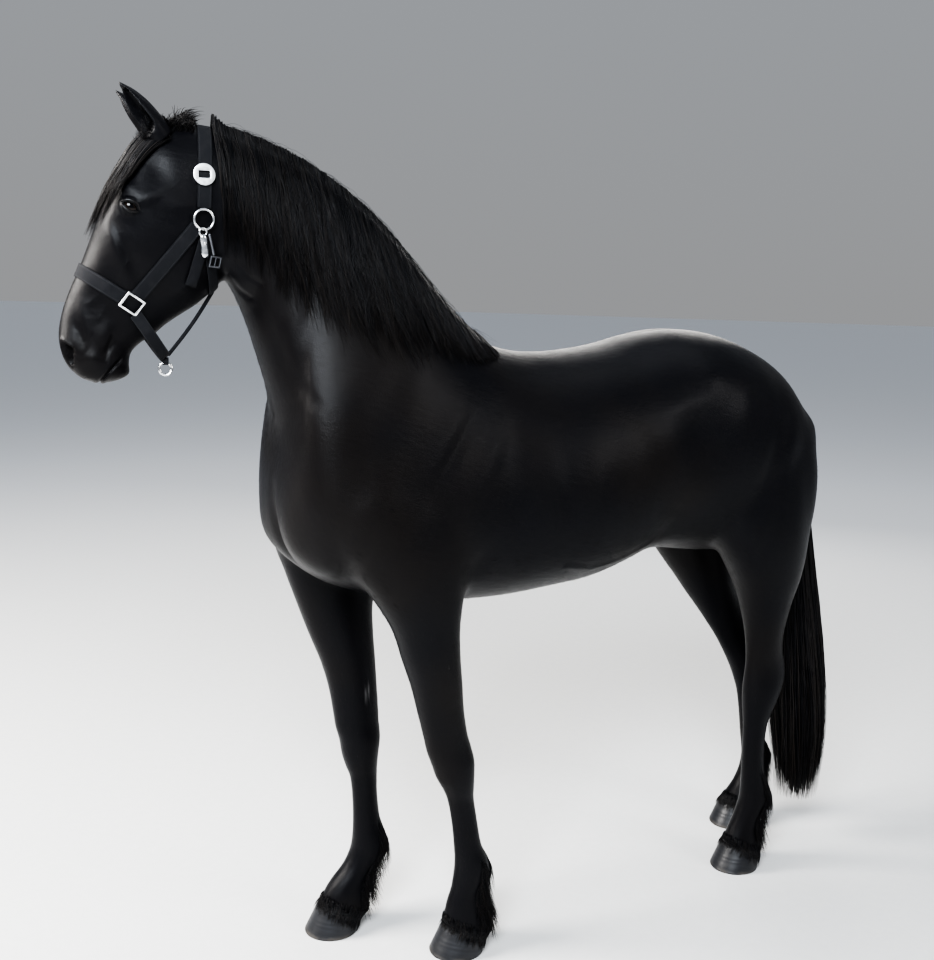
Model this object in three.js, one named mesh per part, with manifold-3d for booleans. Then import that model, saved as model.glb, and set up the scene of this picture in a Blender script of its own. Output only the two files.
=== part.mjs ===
// A Friesian horse standing still, life size, wearing its halter.
// Millimetres, +Z up. The horse looks along -X, its left side is at -Y, its hooves stand on Z = 0.
// Modelled straight, then the neck and head are turned a little to the horse's right.
import * as THREE from "three";
import { mergeVertices } from "three/addons/utils/BufferGeometryUtils.js";
import Module from "manifold-3d";

const wasm = await Module();
wasm.setup();

// Driving sizes
const GAP = 0.3; // between neighbouring pieces
const WELD = 0.1;
const BODY_ROWS = 49; // rings from the buttocks to the end of the muzzle
const BODY_SIDES = 22;
const LEG_ROWS = 22;
const LEG_SIDES = 12;
const HEAD_TURN = (11 * Math.PI) / 180; // the head looks this far to the horse's right
const TURN_AT_X = -100; // the upright line that the head turns about
const TURN_REACH = 380; // measured from the base of the neck
const NECK_BASE = [270, 1600]; // x, z on the cut between trunk and neck, at the withers
const NECK_BASE_SLOPE = [-0.874, -0.486]; // the cut runs forward and down from there
const LEG_CUT = 905; // upper legs part from the trunk at this height
const KNEE_CUT = 425;
const HOCK_CUT = 465;
const HOOF_LENGTH = 152;
const HOOF_WIDTH = 140;
const HOOF_FRONT = 84; // height of the horn at the toe
const HOOF_HEEL = 46;
const POLL_CUT = [-478, 2080]; // x, z: the cut between head and neck runs from here
const THROAT_CUT = [-438, 1722]; // to here
const EAR_TIP = 2142;
const EYE_AT = [-662, 1878];
const EYE_RADIUS = 21;
const EYE_SUNK = 14; // middle of the eyeball, inside the side of the face
const MANE_FROM = -466;
const MANE_TO = 205;
const MANE_LOCKS = 14; // in each of two layers
const MANE_WIDTH = 42;
const MANE_DROP = [[290], [345], [400], [415], [370], [280], [190], [95], [50]]; // poll to withers
const FORELOCK_LOCKS = 6;
const TAIL_CORE = 0.5; // how far down the dock and its dense hair reach
const TAIL_TIERS = [
  [7, 0.16, 1.1, 46, 0.66],
  [12, 0.36, 0.96, 52, 0.97],
  [5, 0.43, 0.46, 56, 0.95],
]; // count, where they root, how far out they hang, width, where they end
const FEATHER_TIERS = [
  [300, 124, 2],
  [236, 152, 4],
  [172, 116, 3],
]; // height of the roots, length, count
const RING_AT = [-508, 1860];
const RING_RADIUS = 22;
const RING_BAR = 3;
const LEAD_RING_AT = [-584, 1524.4];
const LEAD_RING_RADIUS = 14;
const SQUARE_AT = [-660, 1673];
const STRAP_WIDTH = 31;
const STRAP_THICK = 3.4;

// Where each leg stands, and its fore and rear outline from the hoof up.
// Each row: height, front x, rear x, distance from the middle plane, half width.
const LEFT_FORE = [
  [30, 72, 222, 123, 52],
  [62, 82, 230, 123, 54],
  [95, 86, 224, 123, 50],
  [130, 92, 208, 123, 44],
  [170, 104, 204, 124, 41],
  [210, 110, 218, 125, 44],
  [245, 112, 208, 125, 41],
  [290, 107, 188, 125, 33],
  [360, 97, 173, 125, 30],
  [420, 84, 161, 125, 32],
  [455, 69, 158, 126, 40],
  [490, 48, 157, 127, 46],
  [530, 32, 155, 128, 48],
  [570, 15, 143, 130, 45],
  [610, 4, 129, 132, 46],
  [680, -17, 113, 136, 51],
  [750, -39, 102, 142, 58],
  [820, -67, 90, 148, 65],
  [900, -99, 83, 154, 72],
  [980, -153, 87, 162, 80],
  [1060, -213, 99, 166, 86],
  [1150, -263, 103, 166, 88],
  [1240, -281, 99, 160, 84],
  [1330, -253, 83, 150, 70],
];
const RIGHT_FORE = [
  [30, -176, -26, 120, 52],
  [62, -166, -16, 120, 54],
  [95, -156, -16, 120, 50],
  [130, -134, -16, 120, 44],
  [170, -98, 6, 120, 41],
  [210, -76, 34, 121, 44],
  [245, -70, 28, 121, 41],
  [290, -69, 14, 121, 33],
  [360, -72, 4, 121, 30],
  [420, -79, 2, 122, 32],
  [455, -92, 2, 123, 40],
  [490, -103, 5, 124, 46],
  [530, -110, 9, 125, 48],
  [570, -122, 6, 127, 45],
  [610, -128, 4, 129, 46],
  [680, -140, 0, 134, 51],
  [750, -160, -4, 140, 58],
  [820, -188, -8, 147, 65],
  [900, -220, -6, 154, 72],
  [980, -250, 20, 162, 80],
  [1060, -278, 60, 166, 86],
  [1150, -296, 90, 166, 88],
  [1240, -292, 100, 160, 84],
  [1330, -256, 90, 150, 70],
];
const LEFT_HIND = [
  [30, 1062, 1202, 116, 51],
  [62, 1070, 1212, 117, 53],
  [95, 1078, 1212, 118, 49],
  [130, 1094, 1200, 119, 43],
  [170, 1110, 1208, 121, 41],
  [210, 1122, 1232, 123, 44],
  [245, 1123, 1222, 124, 41],
  [300, 1119, 1200, 125, 34],
  [380, 1115, 1192, 126, 32],
  [450, 1111, 1196, 127, 34],
  [490, 1106, 1208, 128, 40],
  [530, 1101, 1226, 129, 46],
  [570, 1097, 1242, 130, 48],
  [610, 1096, 1250, 131, 44],
  [650, 1096, 1242, 133, 41],
  [690, 1092, 1226, 136, 44],
  [740, 1084, 1216, 140, 52],
  [800, 1066, 1214, 146, 64],
  [860, 1040, 1220, 152, 78],
  [920, 1004, 1232, 160, 92],
  [990, 952, 1238, 168, 104],
  [1060, 912, 1240, 172, 112],
  [1140, 880, 1256, 170, 116],
  [1220, 876, 1264, 164, 116],
  [1300, 892, 1256, 158, 110],
  [1380, 930, 1250, 150, 98],
  [1450, 1000, 1180, 140, 70],
];
const RIGHT_HIND = [
  [30, 1266, 1406, 116, 51],
  [62, 1276, 1418, 117, 53],
  [95, 1300, 1430, 118, 49],
  [130, 1332, 1436, 119, 43],
  [170, 1354, 1452, 120, 41],
  [210, 1364, 1474, 121, 44],
  [245, 1362, 1462, 122, 41],
  [300, 1350, 1432, 123, 34],
  [380, 1337, 1414, 124, 32],
  [450, 1322, 1408, 125, 34],
  [490, 1308, 1412, 126, 40],
  [530, 1290, 1424, 127, 46],
  [570, 1267, 1430, 128, 48],
  [610, 1241, 1424, 130, 44],
  [650, 1214, 1398, 132, 41],
  [690, 1184, 1364, 135, 44],
  [740, 1146, 1324, 139, 52],
  [800, 1098, 1290, 145, 64],
  [860, 1052, 1272, 151, 78],
  [920, 1004, 1266, 160, 92],
  [990, 952, 1258, 168, 104],
  [1060, 912, 1252, 172, 112],
  [1140, 880, 1262, 170, 116],
  [1220, 876, 1264, 164, 116],
  [1300, 892, 1256, 158, 110],
  [1380, 930, 1250, 150, 98],
  [1450, 1000, 1180, 140, 70],
];
// Middle of each hoof on the ground: x, y
const HOOF_SPOTS = {
  fore_left: [126, -123],
  fore_right: [-126, 120],
  hind_left: [1118, -116],
  hind_right: [1324, 116],
};

// Cross-sections from the buttocks over back and neck to the end of the muzzle.
// Each row: top x, z, underside x, z, half width, level of the widest place, roundness above and below it.
const BODY = [
  [1266, 1340, 1262, 1190, 55, 0.5, 2, 2],
  [1250, 1430, 1244, 1100, 162, 0.52, 2.1, 2],
  [1204, 1498, 1198, 1040, 222, 0.52, 2.2, 2],
  [1120, 1562, 1115, 1000, 264, 0.54, 2.2, 2],
  [1010, 1610, 1010, 985, 284, 0.54, 2.2, 2],
  [900, 1634, 900, 995, 294, 0.55, 2.2, 2],
  [800, 1636, 800, 1010, 290, 0.54, 2.2, 2.1],
  [700, 1620, 700, 1012, 286, 0.5, 2.1, 2.2],
  [600, 1597, 600, 982, 294, 0.48, 2, 2.2],
  [500, 1581, 500, 955, 300, 0.47, 2, 2.2],
  [400, 1573, 400, 944, 298, 0.47, 1.9, 2.2],
  [300, 1576, 300, 934, 286, 0.46, 1.8, 2.2],
  [200, 1602, 195, 930, 268, 0.45, 1.7, 2.3],
  [130, 1650, 90, 936, 252, 0.43, 1.6, 2.4],
  [66, 1708, -20, 950, 246, 0.4, 1.6, 2.5],
  [6, 1774, -130, 976, 240, 0.37, 1.6, 2.5],
  [-50, 1836, -240, 1018, 226, 0.34, 1.6, 2.5],
  [-100, 1884, -312, 1084, 206, 0.32, 1.6, 2.4],
  [-146, 1921, -346, 1170, 184, 0.32, 1.6, 2.3],
  [-188, 1950, -350, 1262, 160, 0.34, 1.6, 2.2],
  [-231, 1977, -336, 1358, 138, 0.38, 1.6, 2.2],
  [-280, 2004, -346, 1448, 124, 0.42, 1.6, 2.2],
  [-334, 2027, -370, 1538, 113, 0.45, 1.6, 2.2],
  [-392, 2046, -396, 1620, 103, 0.48, 1.7, 2.1],
  [-452, 2062, -424, 1688, 95, 0.5, 1.8, 2],
  [-512, 2070, -444, 1722, 88, 0.52, 2, 2], // throat
  [-566, 2066, -458, 1722, 88, 0.56, 2.1, 2],
  [-612, 2048, -472, 1706, 94, 0.6, 2.2, 2],
  [-650, 2008, -492, 1688, 100, 0.64, 2.3, 2],
  [-680, 1956, -518, 1666, 104, 0.68, 2.4, 1.9], // eyes
  [-706, 1906, -548, 1646, 101, 0.7, 2.4, 1.8],
  [-728, 1856, -580, 1624, 88, 0.68, 2.3, 1.8],
  [-748, 1803, -608, 1600, 73, 0.62, 2.2, 1.9],
  [-769, 1748, -638, 1580, 63, 0.55, 2.2, 2],
  [-791, 1697, -657, 1560, 57, 0.5, 2.2, 2.1],
  [-808, 1648, -664, 1536, 56, 0.48, 2.3, 2.2],
  [-816, 1600, -668, 1514, 58, 0.5, 2.3, 2.2], // nostrils
  [-811, 1558, -686, 1498, 54, 0.5, 2.2, 2.2],
  [-796, 1526, -720, 1490, 42, 0.5, 2, 2],
  [-776, 1508, -748, 1494, 18, 0.5, 2, 2],
];
const POLL_ROW = 26; // between the ears
const BROW_ROW = 31.5; // the tips of the forelock

// The middle line of the tail: x, y, z, and the radius of its hair.
const TAIL = [
  [1190, 0, 1452, 26],
  [1262, 0, 1440, 36],
  [1306, -3, 1378, 44],
  [1328, -9, 1280, 50],
  [1338, -15, 1160, 57],
  [1346, -23, 1020, 66],
  [1358, -32, 880, 76],
  [1374, -40, 740, 86],
  [1391, -46, 600, 93],
  [1408, -50, 460, 98],
  [1424, -51, 320, 98],
  [1436, -49, 190, 84],
];
// Ear from root to tip: half depth and half width.
const EAR_SHAPE = [
  [29, 26],
  [31, 29],
  [29, 28],
  [24, 24],
  [16, 16],
  [2.5, 2.5],
];

// Values between the rows of a table, on a smooth curve through them.
function along(rows, t) {
  const last = rows.length - 1;
  const place = Math.min(Math.max(t, 0), 1) * last;
  const i = Math.min(Math.floor(place), last - 1);
  const f = place - i;
  const at = (k) => rows[Math.min(Math.max(k, 0), last)];
  return rows[i].map((_, k) => {
    const [a, b, c, d] = [at(i - 1)[k], at(i)[k], at(i + 1)[k], at(i + 2)[k]];
    return b + 0.5 * f * (c - a + f * (2 * a - 5 * b + 4 * c - d + f * (3 * (b - c) + d - a)));
  });
}

function smooth(t) {
  const f = Math.min(Math.max(t, 0), 1);
  return f * f * (3 - 2 * f);
}

// A closed skin: a capped cylinder whose points are moved to place(t, angle, radius).
function skin(rows, sides, place) {
  const shape = new THREE.CylinderGeometry(1, 1, 1, sides, rows);
  const points = shape.attributes.position;
  const point = new THREE.Vector3();
  for (let i = 0; i < points.count; i++) {
    point.fromBufferAttribute(points, i);
    const radius = Math.hypot(point.x, point.z);
    const angle = Math.atan2(point.x, point.z);
    point.copy(place(0.5 - point.y, angle, radius > 0.5 ? 1 : 0));
    points.setXYZ(i, point.x, point.y, point.z);
  }
  return shape;
}

// A shape as a solid that can be joined and cut. Points closer than weld become one.
function solid(shape, weld = 1e-3) {
  const bare = shape.clone();
  bare.deleteAttribute("normal");
  bare.deleteAttribute("uv");
  const merged = mergeVertices(bare, weld);
  const corners = [];
  for (let i = 0; i < merged.index.count; i += 3) {
    const [a, b, c] = merged.index.array.slice(i, i + 3);
    if (a !== b && b !== c && c !== a) corners.push(a, b, c);
  }
  const made = (order) =>
    new wasm.Manifold(
      new wasm.Mesh({
        numProp: 3,
        vertProperties: new Float32Array(merged.attributes.position.array),
        triVerts: new Uint32Array(order),
      }),
    );
  const first = made(corners);
  return first.volume() >= 0 ? first : made(corners.toReversed());
}

const join = (...pieces) => pieces.flat().reduce((all, piece) => all.add(piece));

// The largest closed surface of a solid.
function largest(made) {
  return made.decompose().reduce((best, body) => (body.volume() > best.volume() ? body : best));
}

// Soft swellings and hollows of the muscles and bones under the skin, alike on both sides.
// Each: x, distance from the middle, z, reach along x, y, z, tilt of the reach in degrees, height.
const RELIEF = [
  [-325, 88, 1165, 85, 60, 105, 0, 15], // breast muscle
  [-345, 0, 1170, 60, 26, 130, 0, -12], // groove between the two
  [-262, 165, 1215, 80, 60, 90, 0, 12], // point of the shoulder
  [40, 235, 1170, 105, 80, 110, -30, 9], // triceps
  [60, 215, 1430, 60, 80, 180, -28, 8], // shoulder blade
  [185, 270, 1230, 42, 120, 190, 0, -9], // behind the shoulder
  [752, 280, 1345, 70, 80, 110, 0, -15], // hollow of the flank
  [785, 255, 1515, 55, 70, 45, 0, 9], // point of the hip
  [1090, 255, 1350, 120, 90, 130, 0, 8], // top of the thigh
  [1150, 250, 1180, 30, 90, 170, 12, -6], // groove of the thigh
  [925, 235, 1055, 60, 70, 70, 0, 8], // stifle
  [-512, 82, 1762, 66, 50, 66, 0, 8], // cheek
  [-672, 90, 1918, 30, 40, 18, -25, 6], // brow
  [-676, 92, 1842, 34, 30, 18, -25, -4], // below the eye
  [-690, 76, 1770, 18, 36, 70, 20, 4], // ridge of the face
  [-806, 42, 1568, 22, 24, 32, 0, 7], // rim of the nostril
  [-668, 0, 1516, 22, 34, 20, 0, 6], // chin
];
function relieved(point, outward) {
  let push = 0;
  for (const [x, y, z, rx, ry, rz, tilt, height] of RELIEF) {
    const a = (tilt * Math.PI) / 180;
    const dx = point.x - x;
    const dz = point.z - z;
    const u = (dx * Math.cos(a) + dz * Math.sin(a)) / rx;
    const w = (dz * Math.cos(a) - dx * Math.sin(a)) / rz;
    const v = (Math.abs(point.y) - y) / ry;
    const far = u * u + v * v + w * w;
    if (far < 6) push += height * Math.exp(-far);
  }
  return point.addScaledVector(outward, push);
}

// A point of a cross-section: angle 0 at the top, a quarter turn at the right side.
function sectionPoint(row, angle, grow = 0, size = 1) {
  const [topX, topZ, lowX, lowZ, half, level, roundTop, roundLow] = row;
  const length = Math.hypot(topX - lowX, topZ - lowZ);
  const [ux, uz] = [(topX - lowX) / length, (topZ - lowZ) / length];
  const c = Math.cos(angle);
  const s = Math.sin(angle);
  const round = c >= 0 ? roundTop : roundLow;
  const side = Math.sign(s) * Math.pow(Math.abs(s), 2 / round);
  const up = Math.sign(c) * Math.pow(Math.abs(c), 2 / round);
  const rise = (c >= 0 ? (1 - level) * length : level * length) + grow;
  const [mx, mz] = [lowX + ux * level * length, lowZ + uz * level * length];
  const point = new THREE.Vector3(mx + ux * rise * up * size, (half + grow) * side * size, mz + uz * rise * up * size);
  const outward = new THREE.Vector3(ux * up, side, uz * up).normalize();
  return size > 0 ? relieved(point, outward) : point;
}

// How far the surface stands out sideways at a point of the side view, 0 off the form.
function sideways(x, z) {
  const steps = 240;
  let best = 0;
  let before = null;
  for (let i = 0; i <= steps; i++) {
    const [topX, topZ, lowX, lowZ, half, level, roundTop, roundLow] = along(BODY, i / steps);
    const length = Math.hypot(topX - lowX, topZ - lowZ);
    const cross = ((x - lowX) * (topZ - lowZ) - (z - lowZ) * (topX - lowX)) / length;
    const share = ((x - lowX) * (topX - lowX) + (z - lowZ) * (topZ - lowZ)) / (length * length);
    if (before !== null && before * cross <= 0 && share > 0 && share < 1) {
      const [reach, round] = share > level ? [(share - level) / (1 - level), roundTop] : [(level - share) / level, roundLow];
      best = Math.max(best, half * Math.pow(1 - Math.pow(reach, round), 1 / round));
    }
    before = cross;
  }
  return best;
}

// The trunk, neck and head in one, its surface and both ends moved out by grow.
function bodySolid(grow) {
  const shape = skin(BODY_ROWS, BODY_SIDES, (t, angle, size) => {
    const point = sectionPoint(along(BODY, t), angle, grow, size);
    if (t === 0) point.x += grow;
    if (t === 1) point.x -= grow;
    return point;
  });
  return solid(shape);
}

// A leg has level cross-sections, on side -1 (left) or 1 (right).
function legPoint(rows, side, t, angle, size, grow) {
  const [z, front, rear, out, half] = along(rows, t);
  const forward = (rear - front) / 2 + grow;
  const point = new THREE.Vector3(
    (front + rear) / 2 - forward * Math.cos(angle) * size,
    side * out + (half + grow) * Math.sin(angle) * size,
    z,
  );
  return size > 0 ? relieved(point, new THREE.Vector3(-Math.cos(angle), Math.sin(angle), 0)) : point;
}
const legSolid = (rows, side, grow) =>
  solid(skin(LEG_ROWS, LEG_SIDES, (t, angle, size) => legPoint(rows, side, t, angle, size, grow)));

// The slanting plane of the coronet: horn below, skin above.
const CORONET_FALL = Math.atan2(HOOF_FRONT - HOOF_HEEL, HOOF_LENGTH * 0.7);
const CORONET_NORMAL = [Math.sin(CORONET_FALL), 0, Math.cos(CORONET_FALL)];
const coronetOffset = ([x]) => CORONET_NORMAL[0] * (x - HOOF_LENGTH * 0.25) + CORONET_NORMAL[2] * HOOF_FRONT;
const flip = (n) => n.map((v) => -v);

// The horn: flat sole, straight sloping toe, rounded quarters.
function hoofSolid([x, y], grow) {
  const shape = skin(2, 16, (t, angle, size) => {
    const height = t < 1 ? (1 - t) * (HOOF_FRONT + 20) : -grow;
    const taper = 1 - 0.2 * (1 - t);
    const toe = Math.cos(angle) > 0 ? 1 : 0.9;
    const px = x + (1 - t) * 40 - ((HOOF_LENGTH / 2) * taper * toe + grow) * Math.cos(angle) * size;
    const py = y + ((HOOF_WIDTH / 2) * taper + grow) * Math.sin(angle) * size;
    return new THREE.Vector3(px, py, height);
  });
  return solid(shape).trimByPlane(flip(CORONET_NORMAL), -coronetOffset([x, y]) + GAP / 2 - grow);
}

// Locks of hair: tapered, flat underneath with a low ridge, bent along a row of points.
// outward gives the way that each point's flat side faces. A high taper keeps the width almost to the tip.
let seed = 20240;
function chance(low, high) {
  seed = (seed * 1103515245 + 12345) % 2147483648;
  return low + ((high - low) * seed) / 2147483648;
}

function lock(points, outward, width, thick, taper = 1.8) {
  const rows = points.length - 1;
  const tangents = points.map((p, i) =>
    points[Math.min(i + 1, rows)].clone().sub(points[Math.max(i - 1, 0)]).normalize(),
  );
  const shape = skin(rows, 3, (t, angle, size) => {
    const i = Math.round(t * rows);
    const across = new THREE.Vector3().crossVectors(tangents[i], outward[i]).normalize();
    const out = new THREE.Vector3().crossVectors(across, tangents[i]).normalize();
    const full = (1 - 0.92 * Math.pow(t, taper)) * (0.7 + 0.45 * Math.sin(Math.PI * Math.min(t * 1.4, 1)));
    return points[i]
      .clone()
      .addScaledVector(across, 0.577 * width * full * Math.sin(angle) * size)
      .addScaledVector(out, 0.667 * thick * (1 - 0.85 * t * t) * Math.cos(angle) * size);
  });
  return solid(shape);
}

// Height of the crest of the neck at x.
function crestAt(x) {
  let best = 0;
  for (let i = 0; i <= 200; i++) {
    const [topX, topZ] = along(BODY, i / 200);
    if (Math.abs(topX - x) < 6) best = Math.max(best, topZ);
  }
  return best;
}

// The mane falls to the left from the crest, from behind the poll to the withers.
function maneLocks() {
  const locks = [];
  for (let layer = 0; layer < 2; layer++) {
    for (let i = 0; i < MANE_LOCKS; i++) {
      const place = (i + 0.5 * layer + chance(0.2, 0.7)) / (MANE_LOCKS + 0.6);
      const x = MANE_FROM + (MANE_TO - MANE_FROM) * place;
      const crest = crestAt(x);
      const slope = (crestAt(x + 25) - crestAt(x - 25)) / 50;
      const drop = along(MANE_DROP, place)[0] * chance(0.84, 1.04) * (layer ? 0.86 : 1);
      const lift = 5 + 9 * layer;
      const lean = chance(0.22, 0.29);
      const points = [
        new THREE.Vector3(x + 2, 14 * layer, crest - 16),
        new THREE.Vector3(x, 6 * layer - 12, crest + 4 + lift * 0.6),
      ];
      const outward = [new THREE.Vector3(-0.9 * slope, -0.4, 0.9), new THREE.Vector3(-0.85 * slope, -0.5, 0.85)];
      for (const share of [0.14, 0.38, 0.68, 1]) {
        const z = crest - drop * share;
        const px = x + lean * drop * share + chance(-4, 4);
        const clear = share < 1 ? lift + (share < 0.3 ? 2 : 3) : 1 + lift * 0.4;
        points.push(new THREE.Vector3(px, -sideways(px, z) - clear, z));
        outward.push(new THREE.Vector3(0, -1, share < 0.2 ? 0.6 : 0.15));
      }
      locks.push(lock(points, outward, chance(0.86, 1.02) * MANE_WIDTH, 8, 2.4));
    }
  }
  return locks;
}

// The forelock falls between the ears over the forehead.
function forelockLocks() {
  const locks = [];
  for (let i = 0; i < FORELOCK_LOCKS; i++) {
    const angle = -0.62 + (1.25 * (i + chance(0.2, 0.8))) / FORELOCK_LOCKS;
    const lift = 5 + (i % 2) * 7;
    const end = BROW_ROW + chance(-1.4, 0.5) - 1.5 * Math.abs(angle);
    const points = [new THREE.Vector3(-572, angle * 22, 2036), new THREE.Vector3(-594, angle * 34, 2066 + lift)];
    const outward = [new THREE.Vector3(-0.3, 0, 1), new THREE.Vector3(-0.5, 0, 0.9)];
    for (const share of [0.2, 0.5, 0.75, 1]) {
      const t = (POLL_ROW + (end - POLL_ROW) * share) / (BODY.length - 1);
      points.push(sectionPoint(along(BODY, t), angle * (0.75 + 0.35 * share), lift + (share === 1 ? 4 : 0)));
      outward.push(new THREE.Vector3(-0.85, Math.sin(angle), 0.4));
    }
    locks.push(lock(points, outward, chance(24, 28), 6));
  }
  // short hair that stands up behind the ears
  for (const [x, y, high, lean] of [[-566, -12, 30, -14], [-549, 6, 38, -6], [-533, -8, 30, 2]]) {
    const points = [0, 0.4, 0.75, 1].map((s) => new THREE.Vector3(x + lean * s, y * (1 + s), 2046 + (18 + high) * s));
    locks.push(lock(points, points.map(() => new THREE.Vector3(0, -1, 0.2)), 16, 7));
  }
  return locks;
}

// The tail: a hair-covered dock that reaches half way down, and long locks to the tips.
function tailPoint(t, angle, reach) {
  const [x, y, z, radius] = along(TAIL, t);
  return new THREE.Vector3(x + radius * reach * Math.cos(angle), y + 0.92 * radius * reach * Math.sin(angle), z);
}

function tailSolid() {
  const core = solid(
    skin(11, 10, (t, angle, size) => tailPoint(TAIL_CORE * t, angle, size * (t < 0.72 ? 0.8 : 0.8 - 2.2 * (t - 0.72)))),
  );
  const locks = [];
  for (const [count, from, out, width, to] of TAIL_TIERS) {
    for (let i = 0; i < count; i++) {
      const angle = (2 * Math.PI * (i + chance(0.1, 0.9) * 0.6)) / count;
      const start = from + chance(-0.03, 0.03);
      const end = to + chance(-0.05, 0.05);
      const curl = chance(-0.1, 0.1);
      const points = [];
      const outward = [];
      for (const share of [0, 0.1, 0.3, 0.55, 0.8, 1]) {
        const t = start + (end - start) * share;
        const reach = share === 0 ? 0.35 : out + (share === 1 ? -0.12 : 0);
        points.push(tailPoint(t, angle + curl * share, reach));
        outward.push(new THREE.Vector3(Math.cos(angle), Math.sin(angle), 0.1));
      }
      locks.push(lock(points, outward, width * chance(0.88, 1.04), 12, 4));
    }
  }
  return join(core, locks);
}

// Feather: long hair behind the cannon and fetlock, down over the heel.
function featherLocks(rows, side) {
  const locks = [];
  for (const [height, length, count] of FEATHER_TIERS) {
    for (let i = 0; i < count; i++) {
      const angle = Math.PI + (((i + chance(0.25, 0.75)) / count - 0.5) * 2.1);
      const z = height + chance(-10, 10);
      const fall = length * chance(0.85, 1.1);
      const root = legRow(rows, z);
      const at = (drop, out) => {
        const low = Math.max(z - drop, 24);
        const row = legRow(rows, Math.max(low, z - fall * 0.45));
        const half = (row[2] - row[1]) / 2;
        return new THREE.Vector3(
          (row[1] + row[2]) / 2 - (half + out) * Math.cos(angle) + (out > 0 ? out * 0.3 : 0),
          side * root[3] + (row[4] + out) * Math.sin(angle),
          low,
        );
      };
      const points = [at(0, -10), at(fall * 0.25, 8), at(fall * 0.62, 22), at(fall, 34)];
      const way = new THREE.Vector3(-Math.cos(angle), Math.sin(angle), 0.25);
      locks.push(lock(points, points.map(() => way), chance(26, 31), 8, 2.6));
    }
  }
  return locks;
}

function legRow(rows, z) {
  for (let i = 0; i < 240; i++) {
    const row = along(rows, i / 240);
    if (row[0] >= z) return row;
  }
  return rows[rows.length - 1];
}

// An ear: a leaf-shaped cup, open to the front.
function earSolid(side, grow) {
  const base = new THREE.Vector3(-588, side * 52, 2028);
  const tip = new THREE.Vector3(-681, side * 62, EAR_TIP);
  const axis = tip.clone().sub(base).normalize();
  const front = new THREE.Vector3(-0.78, side * 0.34, 0);
  const across = new THREE.Vector3().crossVectors(axis, front).normalize();
  const open = new THREE.Vector3().crossVectors(across, axis).normalize();
  const leaf = (scale, shift, from) =>
    solid(
      skin(5, 10, (t, angle, size) => {
        const [deep, wide] = along(EAR_SHAPE, from + (1 - from) * t);
        return base
          .clone()
          .lerp(tip, from + (1 - from) * t * (scale < 1 ? 0.97 : 1))
          .addScaledVector(open, (deep + grow) * (scale * Math.cos(angle) * size + shift))
          .addScaledVector(across, (wide + grow) * scale * Math.sin(angle) * size);
      }),
    );
  return grow > 0 ? leaf(1, 0, 0) : leaf(1, 0, 0).subtract(leaf(0.78, 0.62, 0.3));
}

// An ellipsoid
function egg(x, y, z, rx, ry, rz, tilt = 0, sides = 11) {
  const shape = new THREE.SphereGeometry(1, sides, Math.round(sides * 0.67));
  shape.scale(rx, ry, rz);
  shape.rotateY((tilt * Math.PI) / 180);
  shape.translate(x, y, z);
  return solid(shape);
}

// A straight slab in side view, from a to b, across the horse between two distances from the middle.
function slab([ax, az], [bx, bz], width, low = -200, high = 200) {
  const shape = new THREE.BoxGeometry(Math.hypot(bx - ax, bz - az), high - low, width);
  shape.rotateY(-Math.atan2(bz - az, bx - ax));
  shape.translate((ax + bx) / 2, (low + high) / 2, (az + bz) / 2);
  return solid(shape);
}

// Turns a flat fitting from its own plane onto the side of the head, lifted off the skin.
function seat(shape, x, z, side, lift, spin = 0) {
  const step = 12;
  const slopeX = (sideways(x + step, z) - sideways(x - step, z)) / (2 * step);
  const slopeZ = (sideways(x, z + step) - sideways(x, z - step)) / (2 * step);
  const normal = new THREE.Vector3(-slopeX, side, -slopeZ).normalize();
  const right = new THREE.Vector3(1, 0, 0).addScaledVector(normal, -normal.x).normalize();
  const above = new THREE.Vector3().crossVectors(normal, right);
  shape.rotateZ(spin);
  shape.applyMatrix4(new THREE.Matrix4().makeBasis(right, above, normal));
  const spot = new THREE.Vector3(x, side * sideways(x, z), z).addScaledVector(normal, lift);
  shape.translate(spot.x, spot.y, spot.z);
  return solid(shape);
}

// A rectangular frame with a hole, such as a buckle.
function frameShape(long, high, bar, deep) {
  const outline = new THREE.Shape([
    new THREE.Vector2(-long / 2, -high / 2),
    new THREE.Vector2(long / 2, -high / 2),
    new THREE.Vector2(long / 2, high / 2),
    new THREE.Vector2(-long / 2, high / 2),
  ]);
  const hole = new THREE.Path([
    new THREE.Vector2(-long / 2 + bar, -high / 2 + bar),
    new THREE.Vector2(-long / 2 + bar, high / 2 - bar),
    new THREE.Vector2(long / 2 - bar, high / 2 - bar),
    new THREE.Vector2(long / 2 - bar, -high / 2 + bar),
  ]);
  outline.holes.push(hole);
  const shape = new THREE.ExtrudeGeometry(outline, { depth: deep, bevelEnabled: false });
  shape.translate(0, 0, -deep / 2);
  return shape;
}

// A flat strap along a row of points, its face turned to outward.
function strap(points, outward, width, thick) {
  const rows = points.length - 1;
  const shape = skin(rows, 4, (t, angle, size) => {
    const i = Math.round(t * rows);
    const tangent = points[Math.min(i + 1, rows)].clone().sub(points[Math.max(i - 1, 0)]).normalize();
    const across = new THREE.Vector3().crossVectors(tangent, outward[i]).normalize();
    const out = new THREE.Vector3().crossVectors(across, tangent).normalize();
    const a = angle + Math.PI / 4;
    return points[i]
      .clone()
      .addScaledVector(across, 0.5 * width * Math.sign(Math.sin(a)) * size)
      .addScaledVector(out, 0.5 * thick * Math.sign(Math.cos(a)) * size);
  });
  return solid(shape);
}

const LEGS = {
  fore_left: [LEFT_FORE, -1],
  fore_right: [RIGHT_FORE, 1],
  hind_left: [LEFT_HIND, -1],
  hind_right: [RIGHT_HIND, 1],
};

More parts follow.
